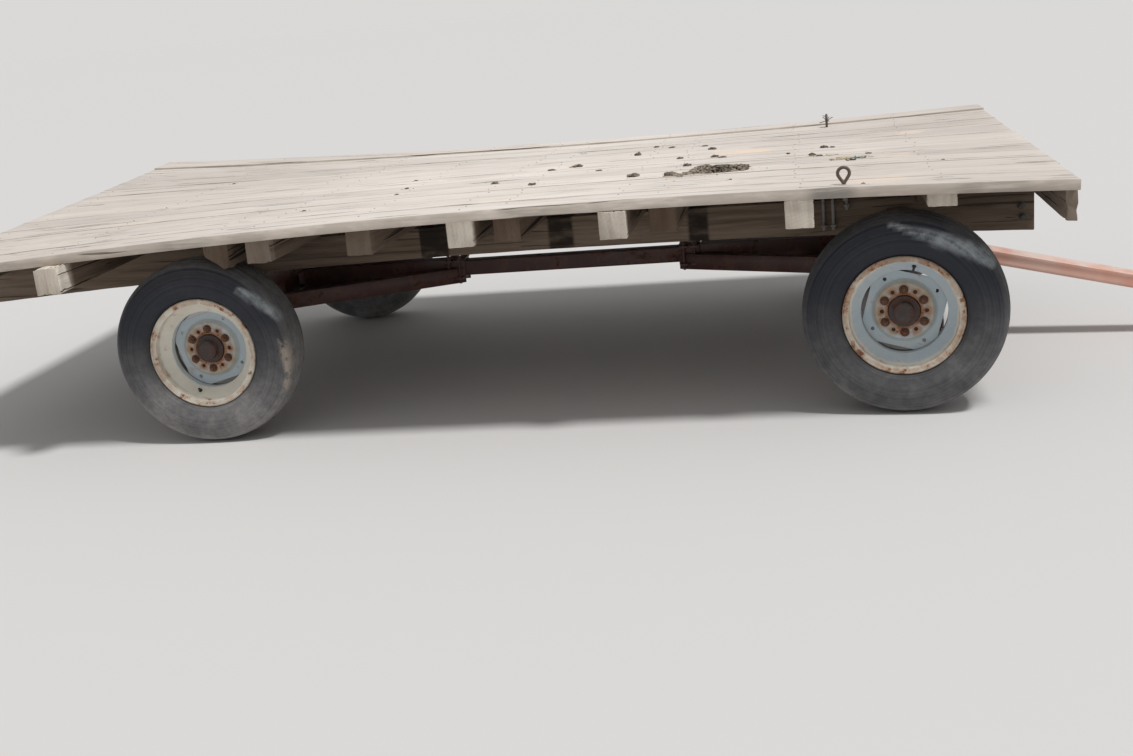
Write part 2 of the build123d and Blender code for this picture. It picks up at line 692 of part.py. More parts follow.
for name, axle_x, side, turn, disc_turn in wheel_table:
    out = (-sin(turn) * side, cos(turn) * side, 0)
    ahead = (cos(turn), sin(turn), 0)
    centre = (
        axle_x + out[0] * king_pin_inset,
        side * king_pin_y + out[1] * king_pin_inset,
        axle_z,
    )
    section = Plane(origin=centre, x_dir=out, z_dir=ahead)
    axle_line = Axis(centre, out)

    with BuildPart() as tyre:
        with BuildSketch(section):
            with BuildLine():
                bead = (flange_in - seat, rim_seat_radius + seat)
                flange_top = (flange_in - seat, rim_flange_radius + seat)
                lower = (flange_out + seat, rim_flange_radius + tyre_bead_rise)
                peak = (tyre_width / 2, tyre_sidewall_peak)
                shoulder = (tyre_shoulder_half_width, tyre_radius - tyre_shoulder_drop)
                upper = (shoulder[0] + tyre_shoulder_bulge, shoulder[1] - tyre_shoulder_slope)
                Polyline((-bead[0], bead[1]), bead, flange_top, lower)
                ThreePointArc(lower, peak, upper)
                Line(upper, shoulder)
                ThreePointArc(shoulder, (0, tyre_radius), (-shoulder[0], shoulder[1]))
                Line((-shoulder[0], shoulder[1]), (-upper[0], upper[1]))
                ThreePointArc((-upper[0], upper[1]), (-peak[0], peak[1]), (-lower[0], lower[1]))
                Polyline((-lower[0], lower[1]), (-flange_top[0], flange_top[1]), (-bead[0], bead[1]))
            make_face()
        revolve(axis=axle_line)
    write(tyre, f"tyre_{name}")

    with BuildPart() as rim:
        with BuildSketch(section):
            with BuildLine():
                lip_radius = rim_flange_radius - rim_flange_depth
                well_corner = rim_well_half_width + rim_inner_corner
                outside = [
                    (flange_out, rim_flange_radius - rim_edge_drop),
                    (flange_out - rim_edge, rim_flange_radius),
                    (flange_in, rim_flange_radius),
                    (flange_in, rim_seat_radius),
                    (seat_in, rim_seat_radius),
                    (rim_well_half_width, rim_well_radius),
                ]
                inside = [
                    (flange_out, lip_radius),
                    (flange_in + rim_wall, lip_radius),
                    (flange_in + rim_wall, rim_seat_radius - rim_wall),
                    (seat_in + rim_inner_corner, rim_seat_radius - rim_wall),
                    (well_corner, rim_well_radius - rim_wall),
                ]
                Polyline(*mirrored(outside), *reversed(mirrored(inside)), close=True)
            make_face()
        revolve(axis=axle_line)
        with BuildSketch(section):
            with BuildLine():
                face = disc_centre_offset
                low = face - disc_step
                inner_radius = disc_centre_radius - disc_inner_corner
                edge_radius = rim_well_radius - rim_wall / 2
                Polyline(
                    (face, disc_bore_radius),
                    (face, disc_centre_radius),
                    (low, disc_centre_radius + disc_slope_run),
                    (low, edge_radius),
                    (low - disc_thickness, edge_radius),
                    (low - disc_thickness, inner_radius + disc_slope_run),
                    (face - disc_thickness, inner_radius),
                    (face - disc_thickness, disc_bore_radius),
                    close=True,
                )
            make_face()
        revolve(axis=axle_line)
        disc_back = low - disc_thickness - overlap
        across = Plane(
            origin=(centre[0] + out[0] * disc_back, centre[1] + out[1] * disc_back, axle_z),
            x_dir=ahead,
            z_dir=out,
        )
        with BuildSketch(across):
            Circle(rim_well_radius - rim_wall)
            RegularPolygon(
                disc_flat_distance, disc_corner_count, major_radius=False, rotation=disc_turn, mode=Mode.SUBTRACT
            )
        extrude(amount=disc_thickness + 2 * overlap, mode=Mode.SUBTRACT)
        with BuildSketch(across):
            with PolarLocations(disc_hole_circle, disc_corner_count, start_angle=disc_turn):
                Circle(disc_hole_radius)
            with PolarLocations(lug_hole_circle, lug_hole_count):
                Circle(lug_hole_radius)
        extrude(amount=disc_step + disc_thickness + 2 * overlap, mode=Mode.SUBTRACT)
    write(rim, f"rim_{name}")

    with BuildPart() as hub:
        with BuildSketch(section):
            with BuildLine():
                flange_face = disc_centre_offset - disc_thickness - seat
                pilot_end = disc_centre_offset + hub_pilot_length
                cap_end = pilot_end + hub_cap_length
                bore = spindle_radius + pin_clearance
                bore_end = spindle_length + spindle_end_gap
                Polyline(
                    (-hub_inner_end, bore),
                    (-hub_inner_end, hub_barrel_radius),
                    (flange_face - hub_flange_thickness, hub_barrel_radius),
                    (flange_face - hub_flange_thickness, hub_flange_radius),
                    (flange_face, hub_flange_radius),
                    (flange_face, hub_pilot_radius),
                    (pilot_end, hub_pilot_radius),
                    (pilot_end, hub_cap_radius),
                    (cap_end - hub_cap_bevel_length, hub_cap_radius),
                    (cap_end, hub_cap_radius - hub_cap_bevel_drop),
                    (cap_end, 0),
                    (bore_end, 0),
                    (bore_end, bore),
                    close=True,
                )
            make_face()
        revolve(axis=axle_line)
    write(hub, f"hub_{name}")

# Eyebolt with a rod bent to a teardrop eye, made with the deck's top at height 0
leg_angle = acos(eyebolt_eye_radius / eyebolt_leg_drop)  # at the eye's middle, from straight down to a leg
leg_length = sqrt(eyebolt_leg_drop ** 2 - eyebolt_eye_radius ** 2)
nut_bottom = -board_thickness - seat - eyebolt_nut_height
with BuildPart() as eyebolt_shape:
    with BuildSketch(Plane.XY.offset(nut_bottom - eyebolt_thread_end)):
        Circle(eyebolt_rod_radius)
    extrude(amount=eyebolt_neck - nut_bottom + eyebolt_thread_end)
    with BuildSketch(Plane.XY.offset(nut_bottom)):
        RegularPolygon(eyebolt_nut_radius, 6)
    extrude(amount=eyebolt_nut_height)
    for leg in (1, -1):
        leg_top = (
            leg * eyebolt_eye_radius * sin(leg_angle),
            0,
            eyebolt_eye_height - eyebolt_eye_radius * cos(leg_angle),
        )
        leg_down = (-leg * cos(leg_angle), 0, -sin(leg_angle))
        with BuildSketch(Plane(origin=leg_top, x_dir=(0, 1, 0), z_dir=leg_down)) as leg_section:
            Circle(eyebolt_rod_radius)
        extrude(amount=leg_length)
        if leg == 1:
            eye_line = Axis((0, 0, eyebolt_eye_height), (0, -1, 0))
            revolve(leg_section.sketch, axis=eye_line, revolution_arc=360 - 2 * degrees(leg_angle))

for name, bolt_y, turn in (("right", right_eyebolt_y, 0), ("left", left_eyebolt_y, 90)):
    with BuildPart() as eyebolt:
        with Locations(Location((eyebolt_x, bolt_y, deck_top(eyebolt_x, bolt_y)), (0, 0, turn))):
            add(eyebolt_shape.part)
    write(eyebolt, "eyebolt_" + name)
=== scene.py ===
"""Looks of a flat deck hay wagon: weathered planks, old timbers, rusty running gear and dusty wheels.

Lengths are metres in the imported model's frame: +X to the tongue, +Y to the wagon's left, +Z up.
"""

import json
import math
import random

import bmesh
import bpy
from bpy.props import FloatProperty, FloatVectorProperty, IntProperty, PointerProperty
from mathutils import Matrix, Vector, noise
from mathutils.bvhtree import BVHTree


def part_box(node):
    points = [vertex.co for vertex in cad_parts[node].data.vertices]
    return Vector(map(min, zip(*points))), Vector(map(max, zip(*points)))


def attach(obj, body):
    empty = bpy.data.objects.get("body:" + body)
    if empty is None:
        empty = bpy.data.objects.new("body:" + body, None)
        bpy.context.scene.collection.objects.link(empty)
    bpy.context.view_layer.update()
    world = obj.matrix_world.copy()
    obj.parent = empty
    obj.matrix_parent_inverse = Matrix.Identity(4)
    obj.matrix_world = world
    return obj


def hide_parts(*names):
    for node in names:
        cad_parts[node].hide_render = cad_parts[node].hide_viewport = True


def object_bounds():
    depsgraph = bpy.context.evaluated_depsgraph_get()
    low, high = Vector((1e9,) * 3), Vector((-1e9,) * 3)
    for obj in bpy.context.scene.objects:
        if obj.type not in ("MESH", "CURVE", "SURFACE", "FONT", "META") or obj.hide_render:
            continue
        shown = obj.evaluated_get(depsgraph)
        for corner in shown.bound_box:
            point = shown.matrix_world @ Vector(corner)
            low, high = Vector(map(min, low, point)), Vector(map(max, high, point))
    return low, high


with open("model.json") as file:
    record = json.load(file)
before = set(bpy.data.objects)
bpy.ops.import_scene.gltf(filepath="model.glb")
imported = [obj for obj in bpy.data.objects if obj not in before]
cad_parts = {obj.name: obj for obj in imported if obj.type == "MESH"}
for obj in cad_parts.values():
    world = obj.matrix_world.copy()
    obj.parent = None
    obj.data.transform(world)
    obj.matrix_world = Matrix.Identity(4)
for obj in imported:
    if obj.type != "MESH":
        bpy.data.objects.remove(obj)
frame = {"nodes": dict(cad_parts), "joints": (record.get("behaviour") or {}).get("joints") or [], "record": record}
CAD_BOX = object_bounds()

bl_info = {
    "name": "Flat Deck Hay Wagon",
    "version": (1, 0, 0),
    "blender": (4, 5, 0),
    "location": "View3D > Sidebar > Hay Wagon",
    "description": "Dresses a flat deck hay wagon with worn wood, rust, dust and dirt",
    "category": "Object",
}

BOARDS = sorted(name for name in frame["nodes"] if name.startswith("deck_board_"))
SILLS = sorted(name for name in frame["nodes"] if name.startswith("sill_"))
JOINTS = {joint["name"]: joint for joint in frame["joints"]}
BODY_OF = {node: body for body, nodes in frame["record"]["behaviour"]["bodies"].items() for node in nodes}
SLOT_OF = {row["node"]: row["material_slot"] for row in frame["record"]["subparts"]}
BOARD_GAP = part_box(BOARDS[1])[0].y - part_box(BOARDS[0])[1].y
BOARD_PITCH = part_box(BOARDS[1])[0].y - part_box(BOARDS[0])[0].y
FIRST_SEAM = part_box(BOARDS[0])[0].y - BOARD_GAP / 2
UP = Vector((0, 0, 1))
NOISE_SEED = 1
# how far a nut is let into the face that it sits on
SEAT = 0.0005


class Value:
    """What a node puts out. Arithmetic on it adds math nodes."""

    def __init__(self, graph, socket):
        self.graph = graph
        self.socket = socket

    def __add__(self, other):
        return self.graph.math("ADD", self, other)

    def __sub__(self, other):
        return self.graph.math("SUBTRACT", self, other)

    def __mul__(self, other):
        return self.graph.math("MULTIPLY", self, other)

    def __truediv__(self, other):
        return self.graph.math("DIVIDE", self, other)

    def __abs__(self):
        return self.graph.math("ABSOLUTE", self)


def solid(colour):
    """A colour with full alpha, or a value as it is."""
    return colour if isinstance(colour, Value) else (*colour[:3], 1.0)


class Graph:
    """A node tree, with short ways to add nodes and join them."""

    def __init__(self, tree):
        self.tree = tree

    def feed(self, sockets, values):
        """Links each named socket to its value, or sets it to a constant."""
        for name, value in values.items():
            if isinstance(value, Value):
                self.tree.links.new(value.socket, sockets[name])
            else:
                sockets[name].default_value = value

    def add(self, kind, inputs=None, **settings):
        """Adds a node, and returns its outputs by number and by name."""
        node = self.tree.nodes.new(kind)
        for name, value in settings.items():
            setattr(node, name, value)
        self.feed(node.inputs, inputs or {})
        values = [Value(self, socket) for socket in node.outputs]
        return dict(enumerate(values)) | {value.socket.name: value for value in values}

    def math(self, operation, *values, clamp=False):
        return self.add("ShaderNodeMath", dict(enumerate(values)), operation=operation, use_clamp=clamp)[0]

    def most(self, first, second):
        return self.math("MAXIMUM", first, second)

    def vector(self, operation, *values):
        return self.add("ShaderNodeVectorMath", dict(enumerate(values)), operation=operation)["Vector"]

    def length(self, vector):
        return self.add("ShaderNodeVectorMath", {0: vector}, operation="LENGTH")["Value"]

    def combine(self, x, y, z=0.0):
        return self.add("ShaderNodeCombineXYZ", {0: x, 1: y, 2: z})[0]

    def split(self, vector):
        parts = self.add("ShaderNodeSeparateXYZ", {0: vector})
        return parts["X"], parts["Y"], parts["Z"]

    def mix(self, factor, first, second, blend="MIX"):
        inputs = {0: factor, 6: solid(first), 7: solid(second)}
        return self.add("ShaderNodeMix", inputs, data_type="RGBA", blend_type=blend)[2]

    def tint(self, colour, shade):
        return self.mix(1.0, colour, shade, "MULTIPLY")

    def step(self, value, low, high, bottom=0.0, top=1.0):
        """A smooth step from bottom to top as the value goes from low to high."""
        inputs = {"Value": value, "From Min": low, "From Max": high, "To Min": bottom, "To Max": top}
        return self.add("ShaderNodeMapRange", inputs, interpolation_type="SMOOTHSTEP")[0]

    def noise(self, vector, stretch, detail=4.0, roughness=0.55, distortion=0.0):
        """Noise from 0 to 1, finer where the stretch is larger: one number, or one for each axis."""
        stretch = stretch if isinstance(stretch, tuple) else (stretch,) * 3
        inputs = {
            "Vector": self.vector("MULTIPLY", vector, stretch),
            "Scale": 1.0,
            "Detail": detail,
            "Roughness": roughness,
            "Distortion": distortion,
        }
        return self.add("ShaderNodeTexNoise", inputs)[0]

    def attribute(self, name, output="Fac"):
        return self.add("ShaderNodeAttribute", attribute_name=name)[output]

    def use(self, group, inputs):
        """Adds a shared group's node, and returns its outputs."""
        return self.add("ShaderNodeGroup", inputs, node_tree=group)


class Surface(Graph):
    """A material's node tree, with its object coordinates and normal, and its shader's inputs."""

    def __init__(self, name):
        self.material = bpy.data.materials.new(name)
        self.material.use_nodes = True
        super().__init__(self.material.node_tree)
        self.shader = self.tree.nodes["Principled BSDF"].inputs
        coordinates = self.add("ShaderNodeTexCoord")
        self.place = coordinates["Object"]
        self.normal = coordinates["Normal"]

    def paint(self, colour, roughness, height=None, depth=0.0, strength=1.0):
        """Feeds the shader, with its normal bent by a height, and returns the material."""
        self.feed(self.shader, {"Base Color": solid(colour), "Roughness": roughness})
        if height is not None:
            bump = self.add("ShaderNodeBump", {"Height": height, "Distance": depth, "Strength": strength})
            self.feed(self.shader, {"Normal": bump[0]})
        return self.material


def node_group(name, inputs, outputs):
    """A new shader node group, as its graph, its inputs' values and its outputs' sockets.

    An input without a default is a vector, and one with a tuple is a colour.
    """
    kinds = {type(None): "Vector", tuple: "Color", float: "Float"}
    tree = bpy.data.node_groups.new(name, "ShaderNodeTree")
    for label, default in inputs.items():
        kind = "NodeSocket" + kinds[type(default)]
        socket = tree.interface.new_socket(label, in_out="INPUT", socket_type=kind)
        if default is not None:
            socket.default_value = default
    for label in outputs:
        kind = "NodeSocketColor" if label == "Color" else "NodeSocketFloat"
        tree.interface.new_socket(label, in_out="OUTPUT", socket_type=kind)
    graph = Graph(tree)
    return graph, graph.add("NodeGroupInput"), tree.nodes.new("NodeGroupOutput").inputs


def wood_grain_group():
    """Grain along X: fibres, wavering streaks, splits, and growth rings on the end faces."""
    inputs = {
        "Vector": None,
        "Normal": None,
        "Pale": (0.62, 0.56, 0.5, 1),
        "Dark": (0.36, 0.3, 0.25, 1),
        "Split Color": (0.09, 0.07, 0.055, 1),
        "Tone": 0.5,
        "Splits": 0.5,
    }
    graph, given, out = node_group("Wood Grain", inputs, ("Color", "Height", "Roughness"))
    tone = given["Tone"]
    place = graph.vector("ADD", given["Vector"], graph.combine(tone * 37.0, tone))
    waver = graph.noise(place, (1.1, 3, 3), 2) * 0.05 - 0.025
    place = graph.vector("ADD", place, graph.combine(0.0, waver, waver))
    fibre = graph.noise(place, (9, 420, 420), 3, 0.6)
    streak = graph.noise(place, (1.3, 46, 46), 5, 0.6)
    band = graph.noise(place, (0.7, 9, 9), 3)
    blotch = graph.noise(place, (2.2, 5, 5), 4)
    upright = graph.noise(place, (0, 48, 5), 5, 0.6, 0.4)
    rings = graph.add(
        "ShaderNodeTexWave",
        {
            "Vector": graph.vector("MULTIPLY_ADD", place, (0, 1, 1), (0, 0.03, 0.05)),
            "Scale": 26.0,
            "Distortion": 2.0,
            "Detail": 2.0,
            "Detail Scale": 1.5,
        },
        wave_type="RINGS",
        rings_direction="X",
    )["Fac"]
    end = graph.step(abs(graph.split(given["Normal"])[0]), 0.75, 0.9)
    split_edge = given["Splits"] * -0.09 + 0.735
    splits = graph.noise(place, (1.7, 12, 12), 2) * 0.12 + graph.noise(place, (1.1, 95, 95), 2, 0.4)
    split = graph.step(splits, split_edge, split_edge + 0.035) * (end * -0.9 + 1.0)
    level = graph.step(streak * 0.5 + fibre * 0.28 + band * 0.22, 0.32, 0.62)
    end_level = graph.step(upright, 0.35, 0.65) * 0.33 + (rings * 0.07 + graph.step(blotch, 0.3, 0.7) * 0.6)
    level = graph.add("ShaderNodeMix", {0: end, 2: level, 3: end_level})[0]
    shade = (tone * 0.14 + 0.93) * (blotch * 0.3 + 0.87)
    grey = graph.add("ShaderNodeCombineColor", {0: shade, 1: shade, 2: shade})[0]
    colour = graph.tint(graph.mix(level, given["Dark"], given["Pale"]), grey)
    height = streak * 0.6 + fibre * 0.25 - split * 0.8
    graph.feed(out, {
        "Color": graph.mix(split, colour, given["Split Color"]),
        "Height": height * (end * -0.85 + 1.0) + upright * end,
        "Roughness": fibre * 0.15 + 0.78,
    })
    return graph.tree


def chipped_paint_group():
    """Faded paint that has chipped and rusted through."""
    inputs = {
        "Vector": None,
        "Paint": (0.5, 0.5, 0.5, 1),
        "Faded": (0.6, 0.6, 0.6, 1),
        "Rust": (0.32, 0.13, 0.05, 1),
        "Dark Rust": (0.07, 0.035, 0.025, 1),
        "Amount": 0.3,
        "Scale": 14.0,
    }
    graph, given, out = node_group("Chipped Paint", inputs, ("Color", "Roughness", "Height"))
    scaled = {0: given["Vector"], "Scale": given["Scale"]}
    place = graph.add("ShaderNodeVectorMath", scaled, operation="SCALE")["Vector"]
    coarse = graph.noise(place, 1, 7, 0.62)
    fine = graph.noise(place, 5, 5, 0.65)
    wide = graph.noise(place, 0.3, 3)
    edge = given["Amount"] * -0.62 + 0.82
    spread = coarse + (fine * 0.12 - 0.06)
    mask = graph.step(spread, edge, edge + 0.045)
    halo = graph.step(spread, edge - 0.09, edge)
    paint = graph.mix(graph.step(wide, 0.35, 0.65), given["Paint"], given["Faded"])
    paint = graph.mix(halo * 0.4, paint, given["Rust"])
    rust = graph.mix(graph.step(fine, 0.35, 0.65), given["Dark Rust"], given["Rust"])
    graph.feed(out, {
        "Color": graph.mix(mask, paint, rust),
        "Roughness": mask * 0.3 + 0.5,
        "Height": mask * (fine - 0.9) + coarse * 0.1,
    })
    return graph.tree


def dust_group():
    """Dry dust that settles most on faces that look up."""
    inputs = {
        "Color": (0.1, 0.1, 0.1, 1),
        "Dust": (0.42, 0.38, 0.33, 1),
        "Vector": None,
        "Normal": None,
        "Amount": 0.5,
    }
    graph, given, out = node_group("Settled Dust", inputs, ("Color", "Mask"))
    up = graph.step(graph.split(given["Normal"])[2], -0.1, 0.9, 0.25, 1.0)
    cloud = graph.step(graph.noise(given["Vector"], 11, 6, 0.65), 0.3, 0.75)
    mask = graph.math("MULTIPLY", up * cloud, given["Amount"], clamp=True)
    graph.feed(out, {"Color": graph.mix(mask, given["Color"], given["Dust"]), "Mask": mask})
    return graph.tree


WOOD_GRAIN = wood_grain_group()
CHIPPED_PAINT = chipped_paint_group()
SETTLED_DUST = dust_group()

# fresh wood on the deck: ends along X, Y at each end, half width and strength
FRESH_STREAKS = (
    (0.220, 0.520, 0.145, 0.090, 0.085, 0.80),
    (0.340, 0.520, 0.120, 0.085, 0.040, 0.60),
    (0.740, 0.980, -1.110, -1.050, 0.060, 0.45),
    (0.880, 1.060, -0.430, -0.420, 0.060, 0.42),
    (1.020, 1.150, 0.360, 0.350, 0.060, 0.45),
    (-0.560, -0.300, -0.900, -0.890, 0.040, 0.20),
    (-2.150, -1.900, -0.640, -0.620, 0.050, 0.20),
)
# dark weather stains on the deck's side faces: middle along X, half length and strength
EDGE_STAINS = (
    (0.71, 0.10, 0.75),
    (1.22, 0.16, 0.45),
    (-0.32, 0.12, 0.35),
    (-1.55, 0.14, 0.4),
    (-2.35, 0.2, 0.35),
)


def add_fresh_streaks(surface, colour):
    """Worn patches of paler, orange wood along lines on the deck."""
    x, y, _ = surface.split(surface.place)
    ragged = surface.noise(surface.place, (20, 60, 60), 4)
    fibres = surface.noise(surface.place, (3, 55, 55), 4)
    grain = surface.step(surface.noise(surface.place, (2, 42, 42), 5), 0.32, 0.58, 0.2, 1.0)
    for x0, x1, y0, y1, half, strength in FRESH_STREAKS:
        slope = (y1 - y0) / (x1 - x0)
        reach = (x1 - x0) / 2
        off = abs(y - (x * slope + (y0 - x0 * slope))) + (ragged * half - half * 0.5)
        from_middle = fibres * (reach * 1.4) + (abs(x - (x0 + x1) / 2) - reach * 0.7)
        inside = surface.step(off, half * 0.5, half * 1.35, strength, 0.0) * grain
        inside = inside * surface.step(from_middle, reach * 0.6, reach, 1.0, 0.0)
        colour = surface.mix(inside, colour, (0.84, 0.645, 0.49))
    return colour


def wear_deck(surface, colour, edge):
    """Dirty smears and seams, grey side faces with stains and painted light that makes them lighter, grey ends and
    fresh streaks.
    """
    x, y, _ = surface.split(surface.place)
    end, side, _ = surface.split(surface.normal)
    smear = surface.step(surface.noise(surface.place, (2.5, 7, 7), 6, 0.6), 0.52, 0.75)
    colour = surface.mix(smear * 0.3, colour, (0.36, 0.31, 0.26))
    from_seam = abs(surface.math("FRACT", (y - FIRST_SEAM) / BOARD_PITCH) - 0.5)
    seam = surface.step(from_seam, 0.455, 0.497) * surface.step(edge, 0.3, 0.6, 0.5, 1.0)
    colour = surface.mix(seam * 0.45, colour, (0.16, 0.13, 0.105))
    side = surface.step(abs(side), 0.6, 0.85)
    streaks = surface.noise(surface.place, (3.2, 1, 60), 6, 0.7)
    colour = surface.mix(side * (surface.step(streaks, 0.50, 0.74) * 0.55), colour, (0.34, 0.31, 0.28))
    # painted light: the side faces are made lighter
    colour = surface.mix(side, colour, surface.tint(colour, (1.16, 1.13, 1.09)))
    blots = surface.step(streaks, 0.36, 0.58, 0.1, 1.0)
    for middle, half, strength in EDGE_STAINS:
        near = surface.step(abs(x - middle), half * 0.4, half, strength, 0.0)
        colour = surface.mix(side * (near * blots), colour, (0.20, 0.19, 0.175))
    colour = surface.mix(surface.step(abs(end), 0.6, 0.85, 0.0, 0.6), colour, (0.25, 0.225, 0.195))
    return add_fresh_streaks(surface, colour)


def wood_material(name, pale, dark, splits, turn=0.0, wear=None):
    """Old wood with its grain along X, or turned about Z. Each mesh gives its tone, how far it has darkened with
    years and with painted shade, and its dark stains, which on the stringers are painted shade.

    The wear is a function that adds to the colour, given the surface, the colour and a noise.
    """
    surface = Surface(name)
    if turn:
        place = {"Vector": surface.place, "Rotation": (0, 0, turn)}
        surface.place = surface.add("ShaderNodeMapping", place)[0]
        normal = {"Vector": surface.normal, "Rotation": (0, 0, turn)}
        surface.normal = surface.add("ShaderNodeMapping", normal, vector_type="VECTOR")[0]
    grain = surface.use(WOOD_GRAIN, {
        "Vector": surface.place,
        "Normal": surface.normal,
        "Pale": solid(pale),
        "Dark": solid(dark),
        "Tone": surface.attribute("tone"),
        "Splits": splits,
    })
    darkened_colour = surface.tint(grain["Color"], (0.17, 0.125, 0.095))
    # the age darkens the wood: partly real age, and painted shade where it is set for shade
    colour = surface.mix(surface.attribute("age_and_painted_shade"), grain["Color"], darkened_colour)
    edge = surface.noise(surface.place, (9, 30, 30), 4)
    # near-black stain, which on the stringers is painted shade in dark bands
    stained_and_painted_shade = surface.attribute("stain_and_painted_shade") * surface.step(edge, 0.25, 0.6, 0.45, 1.0)
    colour = surface.mix(stained_and_painted_shade, colour, (0.022, 0.016, 0.012))
    if wear:
        colour = wear(surface, colour, edge)
    surface.shader["Specular IOR Level"].default_value = 0.25
    return surface.paint(colour, grain["Roughness"], grain["Height"], 0.004, 0.6)


def coat_and_dust(surface, paint, faded, rust, dark_rust, amount, scale, dust_colour, dust):
    """Outputs of the chipped paint on a surface and of the dust over it."""
    coat = surface.use(CHIPPED_PAINT, {
        "Vector": surface.place,
        "Paint": solid(paint),
        "Faded": solid(faded),
        "Rust": solid(rust),
        "Dark Rust": solid(dark_rust),
        "Amount": amount,
        "Scale": scale,
    })
    dusty = surface.use(SETTLED_DUST, {
        "Color": coat["Color"],
        "Dust": solid(dust_colour),
        "Vector": surface.place,
        "Normal": surface.normal,
        "Amount": dust,
    })
    return coat, dusty


def steel_material(
    name, paint, faded, amount, dust, scale, rust=(0.3, 0.12, 0.05), dark_rust=(0.06, 0.03, 0.022),
    dust_colour=(0.42, 0.38, 0.33),
):
    """Painted or bare steel with rust and settled dust."""
    surface = Surface(name)
    coat, dusty = coat_and_dust(surface, paint, faded, rust, dark_rust, amount, scale, dust_colour, dust)
    roughness = surface.math("MULTIPLY_ADD", dusty["Mask"], 0.3, coat["Roughness"], clamp=True)
    return surface.paint(dusty["Color"], roughness, coat["Height"], 0.002, 0.7)


def rim_material(settings):
    """Blue-grey disc and slope, a cream flange with rust stains, rust round the nuts, and painted shade on the
    rim's inner faces and in the gap beside the disc.
    """
    surface = Surface("rim_chalky_paint")
    local = surface.attribute("wheel_place", "Vector")
    cream_well = surface.attribute("cream_well")
    ahead, outwards, up = surface.split(local)
    radius = surface.length(surface.vector("MULTIPLY", local, (1, 0, 1)))
    coarse = surface.noise(surface.place, 26, 6, 0.62)
    patches = surface.noise(surface.place, 9, 4)
    ragged = radius + (coarse * 0.016 - 0.008)
    flange = surface.step(ragged, 0.180, 0.192)
    blue = surface.step(cream_well * -0.037 + 0.185 - ragged, -0.004, 0.004)
    slope = surface.mix(surface.step(ragged, 0.143, 0.148, 1.0, 0.0), settings.slope_blue, settings.disc_blue)
    paint = surface.mix(blue, settings.rim_cream, slope)
    faded = surface.mix(blue, (0.78, 0.74, 0.65), (0.49, 0.55, 0.57))

    stain_and_painted_shade = surface.mix(surface.step(coarse, 0.3, 0.62), (0.65, 0.56, 0.46), (0.44, 0.29, 0.19))
    stained_and_painted_shade = flange * surface.step(patches, 0.3, 0.6, cream_well * -0.25 + 0.35, 0.85)
    paint = surface.mix(stained_and_painted_shade, paint, stain_and_painted_shade)
    # rust and painted shade darken the top of the flange
    rust_and_painted_shade_top = surface.attribute("rust_and_painted_shade_top") * surface.step(up, 0.05, 0.19)
    rust_and_painted_shade_top = rust_and_painted_shade_top * surface.step(coarse, 0.25, 0.55, 0.4, 1.0) * flange
    paint = surface.mix(rust_and_painted_shade_top, paint, (0.25, 0.165, 0.115))

    spacing = math.tau / 12
    turns = surface.math("ARCTAN2", up, ahead) / spacing + 6.5
    arc = (surface.math("FRACT", turns) - 0.5) * (spacing * settings.lug_circle)
    from_nut = surface.length(surface.combine(arc, radius - settings.lug_circle))
    halo = surface.step(coarse * 0.040 + from_nut, 0.026, 0.050, 1.0, 0.0)
    near_nuts = surface.most(halo, surface.step(ragged, 0.062, 0.080, 1.0, 0.0))
    chalk_ring = surface.step(abs(ragged - 0.092), 0.009, 0.020, 0.8, 0.0)
    paint = surface.mix(chalk_ring, paint, (0.45, 0.37, 0.26))
    paint = surface.mix(near_nuts * surface.step(coarse, 0.25, 0.55, 0.5, 1.0), paint, (0.34, 0.165, 0.08))

    unfaded = surface.most(surface.most(stained_and_painted_shade, rust_and_painted_shade_top), near_nuts)
    amount = flange * 0.2 + (near_nuts * 0.3 + 0.2)
    coat, dusty = coat_and_dust(
        surface, paint, surface.mix(unfaded, faded, paint), (0.40, 0.17, 0.065), (0.12, 0.05, 0.03),
        amount, 24.0, (0.60, 0.58, 0.52), 0.3,
    )
    # painted shade: near black on the rim's inner faces and in the gap beside the disc
    painted_shade_behind = surface.step(outwards, -0.026, -0.014, 0.88, 0.0)
    painted_shade_beside_disc = surface.step(radius, 0.1462, 0.1470) * surface.step(outwards, -0.006, 0.003, 0.85, 0.0)
    colour = surface.mix(surface.most(painted_shade_behind, painted_shade_beside_disc), dusty["Color"], (0.035, 0.028, 0.024))
    return surface.paint(colour, coat["Roughness"], coat["Height"], 0.0015, 0.7)


